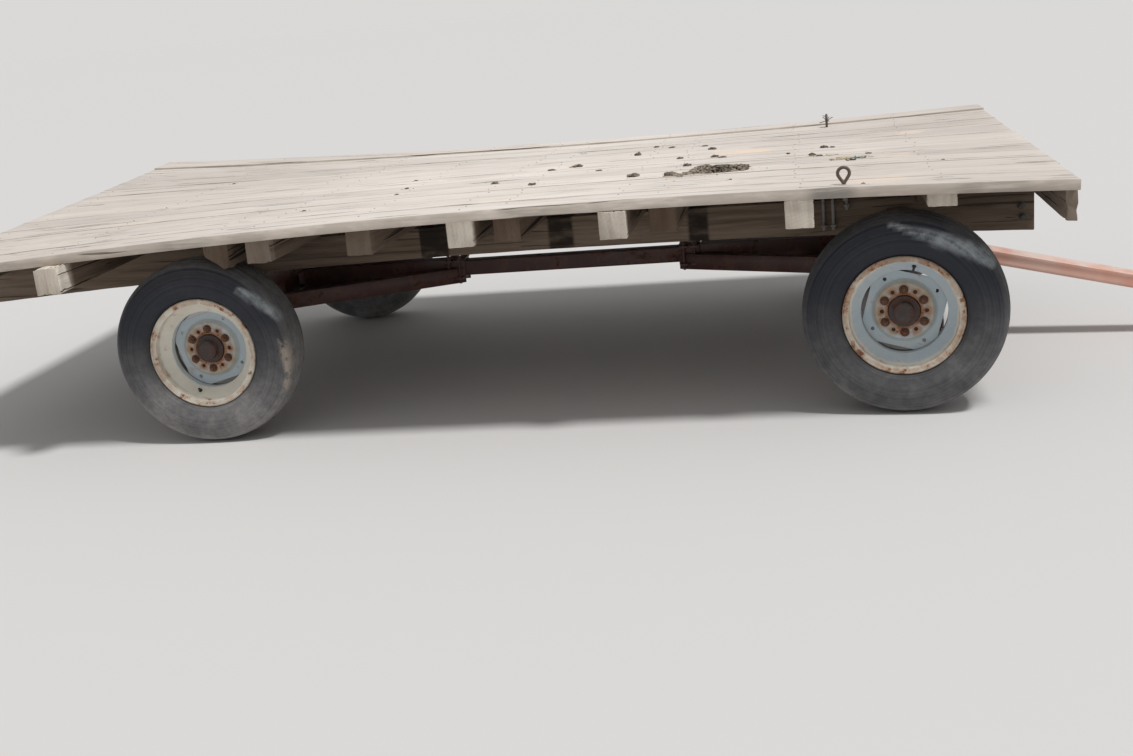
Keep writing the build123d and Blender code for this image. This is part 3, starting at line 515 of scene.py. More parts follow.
def rubber_material(settings):
    """Worn rubber: rings of dust on the sidewall, painted scuffs, and a dusty tread. The dust lies mostly low, and
    the darker top is partly painted shade.
    """
    surface = Surface("tyre_worn_rubber")
    local = surface.attribute("wheel_place", "Vector")
    _, outwards, up = surface.split(local)
    radius = surface.length(surface.vector("MULTIPLY", local, (1, 0, 1)))
    ring_place = surface.combine(radius, outwards)
    rings = surface.noise(ring_place, (190, 60, 1), 5, 0.65)
    cloud = surface.noise(surface.place, 4, 5)
    mottle = surface.noise(surface.place, 26, 6, 0.7)
    fine = surface.noise(surface.place, 160, 3, 0.6)

    # dust lies mostly on the lower half; the darker top is partly clean rubber and partly painted shade
    low = surface.step(up, -0.32, 0.14, 1.0, 0.06)
    dust = surface.step(cloud, 0.25, 0.75, 0.3, 0.75) * low + surface.step(radius, 0.322, 0.343) * 0.22
    dust = dust * (rings * 0.8 + 0.55)
    dust = surface.math("MULTIPLY", dust, mottle * 0.6 + 0.7, clamp=True)
    dust = surface.math("MULTIPLY", dust, surface.attribute("dusty"), clamp=True)
    colour = surface.mix(surface.step(rings, 0.35, 0.65), settings.rubber, (0.026, 0.029, 0.040))
    dust_colour = surface.mix(surface.step(mottle, 0.35, 0.65), (0.275, 0.263, 0.255), (0.355, 0.34, 0.325))
    colour = surface.mix(dust * settings.tyre_dust, colour, dust_colour)

    groove = surface.step(radius, 0.3425, 0.3465, 0.85, 0.0) * surface.step(radius, 0.335, 0.340)
    groove = groove * surface.step(abs(outwards), 0.060, 0.066, 1.0, 0.0)
    colour = surface.mix(groove, colour, (0.012, 0.011, 0.010))
    broken = surface.noise(ring_place, (420, 160, 1), 4, 0.7) * 0.5 + mottle * 0.5
    scuff = surface.attribute("scuff") * surface.step(broken, 0.40, 0.56, 0.25, 1.0)
    colour = surface.mix(scuff, colour, (0.30, 0.325, 0.34))
    marked = surface.attribute("cream_scuff") * surface.step(mottle, 0.4, 0.54)
    colour = surface.mix(marked * 0.7, colour, (0.42, 0.345, 0.28))

    surface.shader["Specular IOR Level"].default_value = 0.22
    roughness = surface.math("MULTIPLY_ADD", dust, 0.25, 0.6, clamp=True)
    return surface.paint(colour, roughness, fine * 0.3 + mottle * 0.4 + rings * 0.3, 0.0015, 0.5)


def dirt_material():
    """Crumbs of dry dirt. Each vertex tells how pale its crumb is."""
    surface = Surface("dry_dirt")
    grain = surface.noise(surface.place, 90, 5, 0.7)
    level = surface.attribute("pale") * 0.6 + surface.step(grain, 0.3, 0.7) * 0.3
    colour = surface.mix(level, (0.085, 0.065, 0.050), (0.46, 0.385, 0.30))
    return surface.paint(colour, grain * 0.1 + 0.88, grain, 0.004, 0.8)


def flake_material(name, colour):
    """A chip of one colour with darker grain."""
    surface = Surface(name)
    grain = surface.step(surface.noise(surface.place, (70, 200, 70), 4, 0.6), 0.3, 0.65)
    darker = tuple(channel * 0.55 for channel in colour)
    return surface.paint(surface.mix(grain, darker, colour), 0.75)


def straw_material():
    """Old straw, from brown to pale."""
    surface = Surface("old_straw")
    grain = surface.noise(surface.place, 30, 3, 0.6)
    colour = surface.mix(surface.step(grain, 0.35, 0.65), (0.36, 0.27, 0.14), (0.66, 0.56, 0.36))
    return surface.paint(colour, grain * 0.2 + 0.6)


def clamped(value, low, high):
    return max(low, min(high, value))


def set_float(bm, name, value):
    """Writes a float attribute on every vertex: a number, or a function of the place."""
    layer = bm.verts.layers.float.get(name) or bm.verts.layers.float.new(name)
    for vertex in bm.verts:
        vertex[layer] = value(vertex.co) if callable(value) else value


def finish_piece(bm, name, body, slot, material, sharp_angle=35.0, node=None):
    """Turns a finished bmesh into a piece that rides on a body, in place of a CAD node if one is given."""
    mesh = bpy.data.meshes.new(name)
    bm.to_mesh(mesh)
    bm.free()
    mesh.polygons.foreach_set("use_smooth", [True] * len(mesh.polygons))
    mesh.set_sharp_from_angle(angle=math.radians(sharp_angle))
    mesh.materials.append(material)
    piece = bpy.data.objects.new(name, mesh)
    bpy.context.scene.collection.objects.link(piece)
    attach(piece, body)
    if node:
        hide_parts(node)


def finish_wood(bm, name, node, wood, tone, age_and_painted_shade, stain_and_painted_shade=0.0, sharp_angle=35.0):
    """Finishes a wooden piece in place of its CAD node, with what the wood's material reads."""
    set_float(bm, "tone", tone)
    set_float(bm, "age_and_painted_shade", age_and_painted_shade)
    set_float(bm, "stain_and_painted_shade", stain_and_painted_shade)
    finish_piece(bm, name, BODY_OF[node], SLOT_OF[node], wood, sharp_angle, node)


def cad_copy(node, flat_angle=1.0):
    """A merged copy of a CAD node's mesh, with its flat faces whole."""
    bm = bmesh.new()
    bm.from_mesh(frame["nodes"][node].data)
    for layer in list(bm.loops.layers.uv):
        bm.loops.layers.uv.remove(layer)
    bmesh.ops.remove_doubles(bm, verts=bm.verts, dist=2e-5)
    bmesh.ops.dissolve_limit(bm, angle_limit=math.radians(flat_angle), verts=bm.verts, edges=bm.edges)
    return bm


def soften(bm, width, segments=2, angle=30.0):
    """Rounds every edge that is sharper than the angle."""
    edges = [e for e in bm.edges if len(e.link_faces) == 2 and e.calc_face_angle() > math.radians(angle)]
    bmesh.ops.bevel(
        bm, geom=edges, offset=width, offset_type="OFFSET", segments=segments, profile=0.5,
        affect="EDGES", clamp_overlap=True, material=-1,
    )


def dress_node(node, name, material, width, segments=2, angle=30.0):
    """Puts a copy with softened edges in a CAD node's place."""
    bm = cad_copy(node)
    soften(bm, width, segments, angle)
    finish_piece(bm, name, BODY_OF[node], SLOT_OF[node], material, node=node)


def evenly(start, spacing, count):
    """Places that follow a start, a spacing apart."""
    return [start + spacing * step for step in range(1, count + 1)]


def slice_along(bm, axis, places):
    """Cuts loops across the mesh at places along an axis."""
    normal = Vector((0, 0, 0))
    normal[axis] = 1
    for place in places:
        bmesh.ops.bisect_plane(
            bm, geom=[*bm.verts, *bm.edges, *bm.faces], plane_co=normal * place, plane_no=normal, dist=1e-5
        )


def roughen(bm, amount, scale, seed):
    """Moves each vertex a little by smooth noise: by a number, or by a function of the place."""
    # without this, the noise changes each time that Blender starts
    noise.seed_set(NOISE_SEED)
    for vertex in bm.verts:
        shift = noise.noise_vector(vertex.co * scale + Vector((seed, seed, seed)))
        reach = amount(vertex.co) if callable(amount) else amount
        vertex.co += shift * reach


def keep_within(bm, low, high):
    """Brings back each vertex that lies outside a box."""
    for vertex in bm.verts:
        vertex.co = Vector(min(max(v, a), b) for v, a, b in zip(vertex.co, low, high))


def surface_of(node):
    """A CAD node's surface, to cast rays at."""
    mesh = frame["nodes"][node].data
    return BVHTree.FromPolygons([v.co for v in mesh.vertices], [tuple(p.vertices) for p in mesh.polygons])


DECK_SURFACES = [(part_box(name), surface_of(name)) for name in BOARDS]


def deck_height(x, y):
    """Height of the deck's top at a place, from the board that lies there."""
    seam, inset = 0.003, 0.001
    for (low, high), surface in DECK_SURFACES:
        if low.y - seam <= y <= high.y + seam:
            inside_x = min(max(x, low.x + inset), high.x - inset)
            inside_y = min(max(y, low.y + inset), high.y - inset)
            hit = surface.ray_cast(Vector((inside_x, inside_y, 2)), -UP)[0]
            if hit:
                return hit.z
    raise ValueError(f"no deck board at {x:.3f}, {y:.3f}")


def wheel_frame(name):
    """Matrix whose axes are ahead, outwards and up, at a wheel's centre."""
    joint = JOINTS[f"{name}_wheel_turn"]
    side = 1 if name.endswith("left") else -1
    outwards = Vector(joint["axis"]).normalized() * side
    ahead = Vector((outwards.y * side, -outwards.x * side, 0))
    matrix = Matrix((ahead, outwards, UP)).transposed().to_4x4()
    matrix.translation = Vector(joint["pos_m"])
    return matrix


def mark_wheel_place(bm, matrix):
    """Stores each vertex's place from the wheel's centre: ahead, outwards and up."""
    layer = bm.verts.layers.float_vector.new("wheel_place")
    back = matrix.inverted()
    for vertex in bm.verts:
        vertex[layer] = back @ vertex.co


def put(bm, matrix):
    """Moves the mesh by a matrix, and turns its faces back out if that mirrors them."""
    bmesh.ops.transform(bm, matrix=matrix, verts=bm.verts)
    if matrix.determinant() < 0:
        bmesh.ops.recalc_face_normals(bm, faces=bm.faces)


def pointing(origin, direction):
    """Matrix that puts a shape made along Z at an origin, along a direction."""
    matrix = Vector(direction).to_track_quat("Z", "Y").to_matrix().to_4x4()
    matrix.translation = Vector(origin)
    return matrix


def add_prism(bm, matrix, radius, length, sides, tip_radius=None):
    """A round or many-sided bar from the matrix's origin along its Z."""
    bmesh.ops.create_cone(
        bm, cap_ends=True, segments=sides, radius1=radius, radius2=tip_radius or radius, depth=length,
        matrix=matrix @ Matrix.Translation((0, 0, length / 2)),
    )


def add_bolt(bm, origin, direction, radius, stud=0.0):
    """A hex nut or head on its washer, with the end of its bolt if that stands out."""
    matrix = pointing(origin, direction)
    washer, body = radius * 0.16, radius * 0.75
    add_prism(bm, matrix, radius * 1.35, washer, 16)
    add_prism(bm, matrix @ Matrix.Translation((0, 0, washer)), radius, body, 6)
    top = matrix @ Matrix.Translation((0, 0, washer + body))
    add_prism(bm, top, radius, radius * 0.12, 6, radius * 0.86)
    if stud:
        add_prism(bm, top, radius * 0.52, stud, 12)


def add_nut_under(bm, x, y, z, radius, stud):
    """A nut let in from below at a place."""
    add_bolt(bm, (x, y, z + SEAT), -UP, radius, stud)


def add_block(bm, size, middle):
    """A box of a size with its middle at a place."""
    made = bmesh.ops.create_cube(bm, size=1)["verts"]
    bmesh.ops.scale(bm, vec=size, verts=made)
    bmesh.ops.translate(bm, vec=middle, verts=made)
    return made


class WagonWoodSettings(bpy.types.PropertyGroup):
    """Colours and wear of the wood."""

    deck_pale: FloatVectorProperty(
        name="Deck Pale",
        description="Palest colour of the deck's planks",
        subtype="COLOR",
        default=(0.750, 0.690, 0.630),
    )
    deck_dark: FloatVectorProperty(
        name="Deck Dark",
        description="Colour of the grain in the deck's planks",
        subtype="COLOR",
        default=(0.630, 0.572, 0.514),
    )
    timber_pale: FloatVectorProperty(
        name="Timber Pale",
        description="Palest colour of the sills",
        subtype="COLOR",
        default=(0.755, 0.695, 0.615),
    )
    timber_dark: FloatVectorProperty(
        name="Timber Dark",
        description="Colour of the grain in the sills",
        subtype="COLOR",
        default=(0.46, 0.385, 0.31),
    )
    deck_splits: FloatProperty(
        name="Deck Splits",
        description="How far the planks have split",
        default=0.10,
        min=0,
        max=1,
        subtype="FACTOR",
    )
    board_lift: FloatProperty(
        name="Board Lift",
        description="Most that a plank's edges curl up",
        default=0.0025,
        min=0,
        unit="LENGTH",
    )


class WagonWheelSettings(bpy.types.PropertyGroup):
    """Colours and sizes of the wheels."""

    rubber: FloatVectorProperty(
        name="Rubber",
        description="Colour of the clean rubber",
        subtype="COLOR",
        default=(0.014, 0.016, 0.023),
    )
    tyre_dust: FloatProperty(
        name="Tyre Dust",
        description="How dusty the tyres are",
        default=0.75,
        min=0,
        max=1,
        subtype="FACTOR",
    )
    rim_cream: FloatVectorProperty(
        name="Rim Cream", description="Paint of the rims", subtype="COLOR", default=(0.70, 0.66, 0.56)
    )
    disc_blue: FloatVectorProperty(
        name="Disc Blue", description="Paint of the discs", subtype="COLOR", default=(0.42, 0.50, 0.55)
    )
    slope_blue: FloatVectorProperty(
        name="Slope Blue",
        description="Paint of the slopes in the rims",
        subtype="COLOR",
        default=(0.45, 0.53, 0.59),
    )
    lug_circle: FloatProperty(
        name="Lug Circle",
        description="Radius of the circle of nuts",
        default=0.076,
        min=0.01,
        unit="LENGTH",
    )
    lug_count: IntProperty(name="Lug Count", description="Nuts on each wheel", default=6, min=3, max=12)


class WagonSteelSettings(bpy.types.PropertyGroup):
    """Colours of the running gear and tongue."""

    # the gear's dark red is old paint made darker as painted shade
    gear_red: FloatVectorProperty(
        name="Gear Red",
        description="Old paint of the running gear",
        subtype="COLOR",
        default=(0.07, 0.02, 0.017),
    )
    tongue_red: FloatVectorProperty(
        name="Tongue Red",
        description="Faded paint of the tongue",
        subtype="COLOR",
        default=(0.66, 0.325, 0.24),
    )


class WAGON_OT_stage(bpy.types.Operator):
    """Sets the camera, the pale floor and the soft studio light"""

    bl_idname = "wagon.stage"
    bl_label = "Stage"

    camera_place = (0.5986, -5.7049, 1.4844)
    camera_right = (0.98361, 0.15465, -0.09275)
    camera_up = (0.04690, 0.27725, 0.95965)
    camera_back = (0.17412, -0.94827, 0.26545)
    camera_lens = 43.062
    floor_size = 400
    # for rays that light the scene, then for rays that the camera sees
    studio_strengths = (0.45, 0.702)
    studio_colours = ((0.97, 0.985, 1.0), (1.0, 0.985, 0.967))

    def execute(self, context):
        scene = context.scene
        camera = bpy.data.objects.new("camera", bpy.data.cameras.new("camera"))
        scene.collection.objects.link(camera)
        camera.data.sensor_width = 36
        camera.data.lens = self.camera_lens
        matrix = Matrix((self.camera_right, self.camera_up, self.camera_back)).transposed().to_4x4()
        matrix.translation = Vector(self.camera_place)
        camera.matrix_world = matrix
        scene.camera = camera

        bm = bmesh.new()
        bmesh.ops.create_grid(bm, x_segments=1, y_segments=1, size=self.floor_size)
        mesh = bpy.data.meshes.new("floor")
        bm.to_mesh(mesh)
        bm.free()
        floor = bpy.data.objects.new("floor", mesh)
        floor.location.z = CAD_BOX[0].z - 0.0005
        scene.collection.objects.link(floor)
        mesh.materials.append(Surface("pale_floor").paint((0.62, 0.605, 0.59), 0.9))

        sun = bpy.data.objects.new("key_light", bpy.data.lights.new("key_light", "SUN"))
        sun.data.energy = 2.5
        sun.data.angle = math.radians(9)
        sun.rotation_mode = "QUATERNION"
        sun.rotation_quaternion = Vector((0.45, -0.24, 1)).to_track_quat("Z", "Y")
        scene.collection.objects.link(sun)

        world = bpy.data.worlds.new("studio")
        world.use_nodes = True
        scene.world = world
        graph = Graph(world.node_tree)
        rays = graph.add("ShaderNodeLightPath")
        seen = graph.most(rays["Is Camera Ray"], rays["Is Transmission Ray"])
        lighting, backdrop = self.studio_strengths
        graph.feed(world.node_tree.nodes["Background"].inputs, {
            "Strength": graph.add("ShaderNodeMix", {0: seen, 2: lighting, 3: backdrop})[0],
            "Color": graph.mix(seen, *self.studio_colours),
        })
        scene.view_settings.view_transform = "Standard"
        return {"FINISHED"}


class WAGON_OT_deck(bpy.types.Operator):
    """Lays worn planks in place of the deck's boards"""

    bl_idname = "wagon.deck"
    bl_label = "Deck Planks"

    stations = 96
    thickness = 0.036
    # how much thicker the last board shows, which stands proud
    proud = 0.008
    edge_radius = 0.0032
    # share of a board's length at each end whose vertices are moved as the end
    end_share = 0.002

    def execute(self, context):
        settings = context.scene.wagon_wood
        wood = wood_material(
            "deck_weathered_wood", settings.deck_pale, settings.deck_dark, settings.deck_splits,
            wear=wear_deck,
        )
        for index, node in enumerate(BOARDS):
            self.lay_board(index, node, settings.board_lift, wood)
        return {"FINISHED"}

    def lay_board(self, index, node, board_lift, wood):
        """A curled plank over its board, with ragged ends, that follows the warp of the deck."""
        draw = random.Random(100 + index)
        low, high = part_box(node)
        length, width = high.x - low.x, high.y - low.y
        middle_y = (low.y + high.y) / 2
        thickness = self.thickness + (self.proud if node == BOARDS[-1] else 0.0)
        bm = bmesh.new()
        bmesh.ops.create_grid(bm, x_segments=self.stations, y_segments=6, size=0.5)
        bmesh.ops.scale(bm, vec=(length, width, 1), verts=bm.verts)
        shell = bmesh.ops.extrude_face_region(bm, geom=bm.faces[:])
        lowered = [item for item in shell["geom"] if isinstance(item, bmesh.types.BMVert)]
        bmesh.ops.translate(bm, vec=(0, 0, -thickness), verts=lowered)
        bmesh.ops.recalc_face_normals(bm, faces=bm.faces)
        soften(bm, self.edge_radius, 2, 60)
        curl = board_lift * draw.uniform(0.2, 1.0)
        rear_short, front_short = draw.uniform(0, 0.006), draw.uniform(0, 0.006)
        for vertex in bm.verts:
            across = vertex.co.y / width * 2
            share = vertex.co.x / length + 0.5
            if share < self.end_share:
                vertex.co.x += rear_short + 0.002 * noise.noise(vertex.co * 90 + Vector((index, 0, 0)))
            elif share > 1 - self.end_share:
                vertex.co.x -= front_short + 0.002 * noise.noise(vertex.co * 90 + Vector((index, 5, 0)))
            x = vertex.co.x + (low.x + high.x) / 2
            y = vertex.co.y + middle_y
            wave = 0.0012 * (1 + noise.noise(Vector((x * 1.7, y * 9, index))))
            top = deck_height(x, clamped(y, low.y + 0.0012, high.y - 0.0012))
            vertex.co = Vector((x, y, top + vertex.co.z + curl * across ** 2 + wave - 0.001))
        tone = draw.random()
        plank_age = draw.uniform(0.0, 0.06)
        # the age also darkens the planks towards both ends of the deck, away from x = -0.45: painted light that
        # leaves the middle brightest
        finish_wood(
            bm, node.replace("deck_board", "deck_plank"), node, wood, tone,
            lambda co: plank_age + 0.13 * min(1.3, abs(co.x + 0.45) / 1.2) ** 1.5, sharp_angle=40,
        )


class WAGON_OT_timbers(bpy.types.Operator):
    """Puts rough old timbers in place of the sills, header and stringers"""

    bl_idname = "wagon.timbers"
    bl_label = "Timbers"

    # sill: tone, age (painted shade on sills 04, 05, 07 and 09), roughness of its ends, and length that stays pale
    # (on sill_02 also painted light on its lit side)
    sill_wear = {
        "sill_01": (0.3, 0.6, 0.003, 0.01),
        "sill_02": (0.9, 0.0, 0.007, 0.07),
        "sill_03": (0.2, 0.94, 0.009, 0.0),
        "sill_04": (0.6, 0.78, 0.005, 0.0),
        "sill_05": (0.3, 0.9, 0.003, 0.0),
        "sill_06": (0.9, 0.0, 0.003, 0.008),
        "sill_07": (0.4, 0.96, 0.003, 0.0),
        "sill_08": (0.7, 0.24, 0.002, 0.008),
        "sill_09": (0.3, 0.96, 0.003, 0.0),
        "sill_10": (0.75, 0.0, 0.002, 0.008),
        "sill_11": (0.5, 0.2, 0.002, 0.01),
    }
    # painted shade: dark bands on the stringers, ends along X
    stringer_bands = ((-0.873, -0.763), (-0.359, -0.263), (0.183, 0.259))

    def execute(self, context):
        settings = context.scene.wagon_wood
        across = wood_material(
            "sill_old_timber", settings.timber_pale, settings.timber_dark, 0.6, turn=math.radians(-90)
        )
        # painted shade: the stringers' colours are darker than their wood
        along = wood_material("stringer_timber_painted_shade", (0.26, 0.20, 0.15), (0.11, 0.078, 0.057), 0.4)
        for node, wear in self.sill_wear.items():
            self.wear_sill(node, across, *wear)
        self.wear_header("front_header", across)
        for side in ("left", "right"):
            self.wear_stringer("stringer_" + side, along)
        return {"FINISHED"}

    def wear_sill(self, node, wood, tone, age_and_painted_shade, ends, pale_and_lit_length):
        """A sill with rough ends, and painted shade that darkens it away from them, under the deck."""
        low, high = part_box(node)
        bm = cad_copy(node)
        soften(bm, 0.004)
        slice_along(bm, 1, evenly(low.y, 0.01, 11) + evenly(high.y, -0.01, 11) + evenly(low.y, 0.12, 19))
        slice_along(bm, 0, evenly(low.x, 0.016, 5))

        def from_end(co):
            return min(co.y - low.y, high.y - co.y)

        def wear(co):
            return 0.0007 + ends * max(0.0, 1 - from_end(co) / 0.09)

        # painted shade: the sill darkens under the deck, past the pale length at each end
        def painted_shade_inward(co):
            return max(age_and_painted_shade, min(0.92, (from_end(co) - pale_and_lit_length) / 0.04))

        roughen(bm, wear, 38, tone * 9)
        keep_within(bm, low, high)
        finish_wood(bm, node + "_timber", node, wood, tone, painted_shade_inward)

    def wear_header(self, node, wood):
        """The board across the front, roughest at its right end."""
        low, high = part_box(node)
        bm = cad_copy(node)
        soften(bm, 0.003)
        slice_along(bm, 1, evenly(low.y, 0.012, 9) + evenly(low.y, 0.12, 18)[1:])
        slice_along(bm, 2, evenly(low.z, 0.015, 7))
        roughen(bm, lambda co: 0.001 + 0.008 * max(0.0, 1 - (co.y - low.y) / 0.08), 45, 4)
        keep_within(bm, low, high)
        finish_wood(bm, node + "_timber", node, wood, 0.3, 0.8)

    def wear_stringer(self, node, wood):
        """A stringer with dark bands of painted shade, darker towards its front end."""
        low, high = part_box(node)
        bm = cad_copy(node, flat_angle=0.05)
        soften(bm, 0.004, 2, 60)
        cuts = evenly(low.x, 0.06, 69)
        cuts += [edge + shift for band in self.stringer_bands for edge in band for shift in (-0.006, 0.006)]
        slice_along(bm, 0, [cut for cut in cuts if low.x < cut < high.x])
        roughen(bm, 0.0012, 14, 2)
        keep_within(bm, low, high)

        def age_and_painted_shade(co):
            return 0.2 + 0.25 * clamped((co.x - 0.85) / 0.3, 0.0, 1.0)

        # painted shade in the dark bands
        def stain_and_painted_shade(co):
            return float(any(start - 0.001 < co.x < stop + 0.001 for start, stop in self.stringer_bands))

        finish_wood(bm, node + "_timber", node, wood, 0.4, age_and_painted_shade, stain_and_painted_shade, 50)


class WAGON_OT_nails(bpy.types.Operator):
    """Drives nails through the planks into each sill"""

    bl_idname = "wagon.nails"
    bl_label = "Deck Nails"

    head_radius = 0.0034
    head_height = 0.003
    sunk = 0.0012
    # where the two nails of a plank lie, as shares of its width
    shares = (0.26, 0.74)
    missing = 0.06

    def execute(self, context):
        draw = random.Random(7)
        bm = bmesh.new()
        for sill in SILLS:
            sill_low, sill_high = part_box(sill)
            for board in BOARDS:
                low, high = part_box(board)
                for share in self.shares:
                    x = (sill_low.x + sill_high.x) / 2 + draw.uniform(-0.018, 0.018)
                    y = low.y + (high.y - low.y) * (share + draw.uniform(-0.05, 0.05))
                    if draw.random() < self.missing or not sill_low.y < y < sill_high.y:
                        continue
                    matrix = Matrix.Translation((x, y, deck_height(x, y) - self.sunk))
                    add_prism(bm, matrix, self.head_radius, self.head_height, 8, self.head_radius * 0.8)
        material = steel_material("nail_rust", (0.20, 0.15, 0.12), (0.28, 0.22, 0.18), 0.4, 0.3, 90)
        finish_piece(bm, "deck_nails", "root", "rusty_iron", material)
        return {"FINISHED"}


class WAGON_OT_gear(bpy.types.Operator):
    """Gives the axles, reach, hounds, bolsters and linkage softened edges, rust, and old paint made darker as
    painted shade
    """

    bl_idname = "wagon.gear"
    bl_label = "Running Gear"

    sleeve_wall = 0.007
    hound_plate_length = 0.30

    def execute(self, context):
        # old red paint, darkened as painted shade
        gear = steel_material(
            "gear_red_painted_shade", context.scene.wagon_steel.gear_red, (0.075, 0.035, 0.028), 0.4, 0.16, 14,
            (0.15, 0.06, 0.035), (0.035, 0.022, 0.018),
        )
        for node, slot in SLOT_OF.items():
            if slot == "gear_steel":
                dress_node(node, node + "_steel", gear, 0.002)
        self.add_clamp_bolts(gear)
        self.add_reach_sleeves(gear)
        return {"FINISHED"}

    def add_clamp_bolts(self, gear):
        """Bolts down beside each clamp, through a plate above it and one below."""
        bm = bmesh.new()
        for name in ("front_clamp", "rear_clamp"):
            low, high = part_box(name)
            for x in (low.x + 0.022, high.x - 0.022):
                for y, out in ((low.y, -1), (high.y, 1)):
                    for z, up in ((high.z, 1), (low.z, -1)):
                        add_block(bm, (0.034, 0.034, 0.008), (x, y + out * 0.016, z - up * 0.005))
                        add_bolt(bm, (x, y + out * 0.017, z - up * 0.001), (0, 0, up), 0.011, 0.01)
                    add_prism(bm, pointing((x, y + out * 0.017, low.z), UP), 0.006, high.z - low.z, 12)
        finish_piece(bm, "reach_clamp_bolts", "root", "gear_steel", gear)

    def add_reach_sleeves(self, gear):
        """Sleeves round the reach from each clamp to its axle, and plates that join the hounds under it."""
        low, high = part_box("reach")
        middle_y, middle_z = (low.y + high.y) / 2, (low.z + high.z) / 2
        bm = bmesh.new()
        for end, ahead in (("front", 1), ("rear", -1)):
            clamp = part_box(end + "_clamp")[ahead == 1].x
            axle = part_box(end + "_axle")[ahead == -1].x
            start, stop = clamp + ahead * 0.002, axle - ahead * 0.004
            long, middle_x = abs(stop - start), (start + stop) / 2
            for y in (low.y - 0.0036, high.y + 0.0036):
                add_block(bm, (long, self.sleeve_wall, high.z - low.z + 0.014), (middle_x, y, middle_z))
            add_block(bm, (long, high.y - low.y + 0.0135, 0.0065), (middle_x, middle_y, high.z + 0.0034))
            hounds = [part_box(f"{end}_hound_{side}") for side in ("left", "right")]
            reach = min(abs(hounds[0][1].y), abs(hounds[1][0].y)) - 0.06
            plate_x = stop - ahead * (self.hound_plate_length / 2 + 0.006)
            size = (self.hound_plate_length, 2 * reach, 0.006)
            plate = add_block(bm, size, (plate_x, 0, low.z - 0.0045))
            near = [v for v in plate if (v.co.x - plate_x) * ahead < 0]
            bmesh.ops.scale(bm, vec=(1, 0.56, 1), verts=near)
        soften(bm, 0.001, 1)
        finish_piece(bm, "reach_sleeves", "root", "gear_steel", gear)


class WAGON_OT_hardware(bpy.types.Operator):
    """Adds the running gear's nuts, pin heads, cotter pins and grease fittings"""

    bl_idname = "wagon.hardware"
    bl_label = "Gear Hardware"

    cotter_radius = 0.0018
    # places across the wagon of the bolster's bolts, and of those through the hounds
    bolster_bolts = (-0.235, -0.115, 0.115, 0.235)
    hound_bolts = (-0.37, 0.37)

    def execute(self, context):
        iron = steel_material(
            "hardware_dark_iron", (0.05, 0.032, 0.026), (0.07, 0.048, 0.04), 0.5, 0.2, 40, (0.16, 0.07, 0.04)
        )
        for side in ("left", "right"):
            self.dress_knuckle(side, iron)
            self.dress_tie_rod(side, iron)
        self.dress_bracket(iron)
        bm = bmesh.new()
        for end in ("front", "rear"):
            self.clasp_bolster(bm, end)
        finish_piece(bm, "bolster_clasps", "root", "gear_steel", iron)
        return {"FINISHED"}

    def dress_knuckle(self, side, iron):
        """A cap with a grease fitting over the king pin, and a nut with its cotter pin under it."""
        spot = Vector(JOINTS[side + "_king_pin"]["pos_m"])
        low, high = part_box("knuckle_" + side)
        bm = bmesh.new()
        top = Matrix.Translation((spot.x, spot.y, high.z - SEAT))
        add_prism(bm, top, 0.020, 0.006, 24, 0.017)
        add_prism(bm, top @ Matrix.Translation((0, 0, 0.005)), 0.0048, 0.006, 6)
        add_prism(bm, top @ Matrix.Translation((0, 0, 0.011)), 0.0032, 0.006, 10, 0.0024)
        add_nut_under(bm, spot.x, spot.y, low.z, 0.015, 0.008)
        pin = Matrix.Translation((spot.x, spot.y - 0.024, low.z - 0.008))
        add_prism(bm, pin @ Matrix.Rotation(math.radians(-90), 4, "X"), self.cotter_radius, 0.048, 8)
        finish_piece(bm, "king_pin_fittings_" + side, side + "_knuckle", "gear_steel", iron)

    def dress_tie_rod(self, side, iron):
        """Nuts under both eyes of the tie rod."""
        inner = Vector(JOINTS[side + "_tie_rod_pin"]["pos_m"])
        low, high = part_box("tie_rod_" + side)
        eye = (high.y - inner.y) if side == "right" else (inner.y - low.y)
        outer = Vector((low.x + eye, high.y - eye if side == "left" else low.y + eye, inner.z))
        bm = bmesh.new()
        for spot in (inner, outer):
            add_nut_under(bm, spot.x, spot.y, low.z, 0.0125, 0.007)
        finish_piece(bm, "tie_rod_nuts_" + side, side + "_tie_rod", "gear_steel", iron)

    def dress_bracket(self, iron):
        """The head of the tongue's hinge pin, and its nut with a cotter pin."""
        hinge = JOINTS["tongue_lift"]
        axis = Vector(hinge["axis"]).normalized()
        middle = Vector(hinge["pos_m"])
        ears = surface_of("steering_bracket")
        bm = bmesh.new()
        for side, stud in ((-1, 0.0), (1, 0.010)):
            face = ears.ray_cast(middle + axis * side * 0.3, -axis * side)[0] + axis * side * SEAT
            add_bolt(bm, face, axis * side, 0.017, stud)
        spot = face + axis * 0.020
        add_prism(bm, pointing(spot - UP * 0.016, UP), self.cotter_radius, 0.032, 8)
        finish_piece(bm, "tongue_pin_fittings", "bracket", "gear_steel", iron)

    def clasp_bolster(self, bm, end):
        """Nuts under the axle for the bolts of the bolster's feet, and bolt heads on the hounds."""
        bolster_low, bolster_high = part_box(end + "_bolster")
        axle = surface_of(end + "_axle")
        x = (bolster_low.x + bolster_high.x) / 2
        for y in self.bolster_bolts:
            for shift in (-0.022, 0.022):
                under = axle.ray_cast(Vector((x + shift, y, 0.1)), UP)[0]
                if under:
                    add_nut_under(bm, *under, 0.0105, 0.008)
        inwards = -0.035 if end == "front" else 0.035
        for y in self.hound_bolts:
            hound = surface_of(f"{end}_hound_{'left' if y > 0 else 'right'}")
            top = hound.ray_cast(Vector((x + inwards, y, 0.8)), -UP)[0]
            if top and top.z > 0.40:
                add_bolt(bm, top - UP * SEAT, UP, 0.011, 0.009)


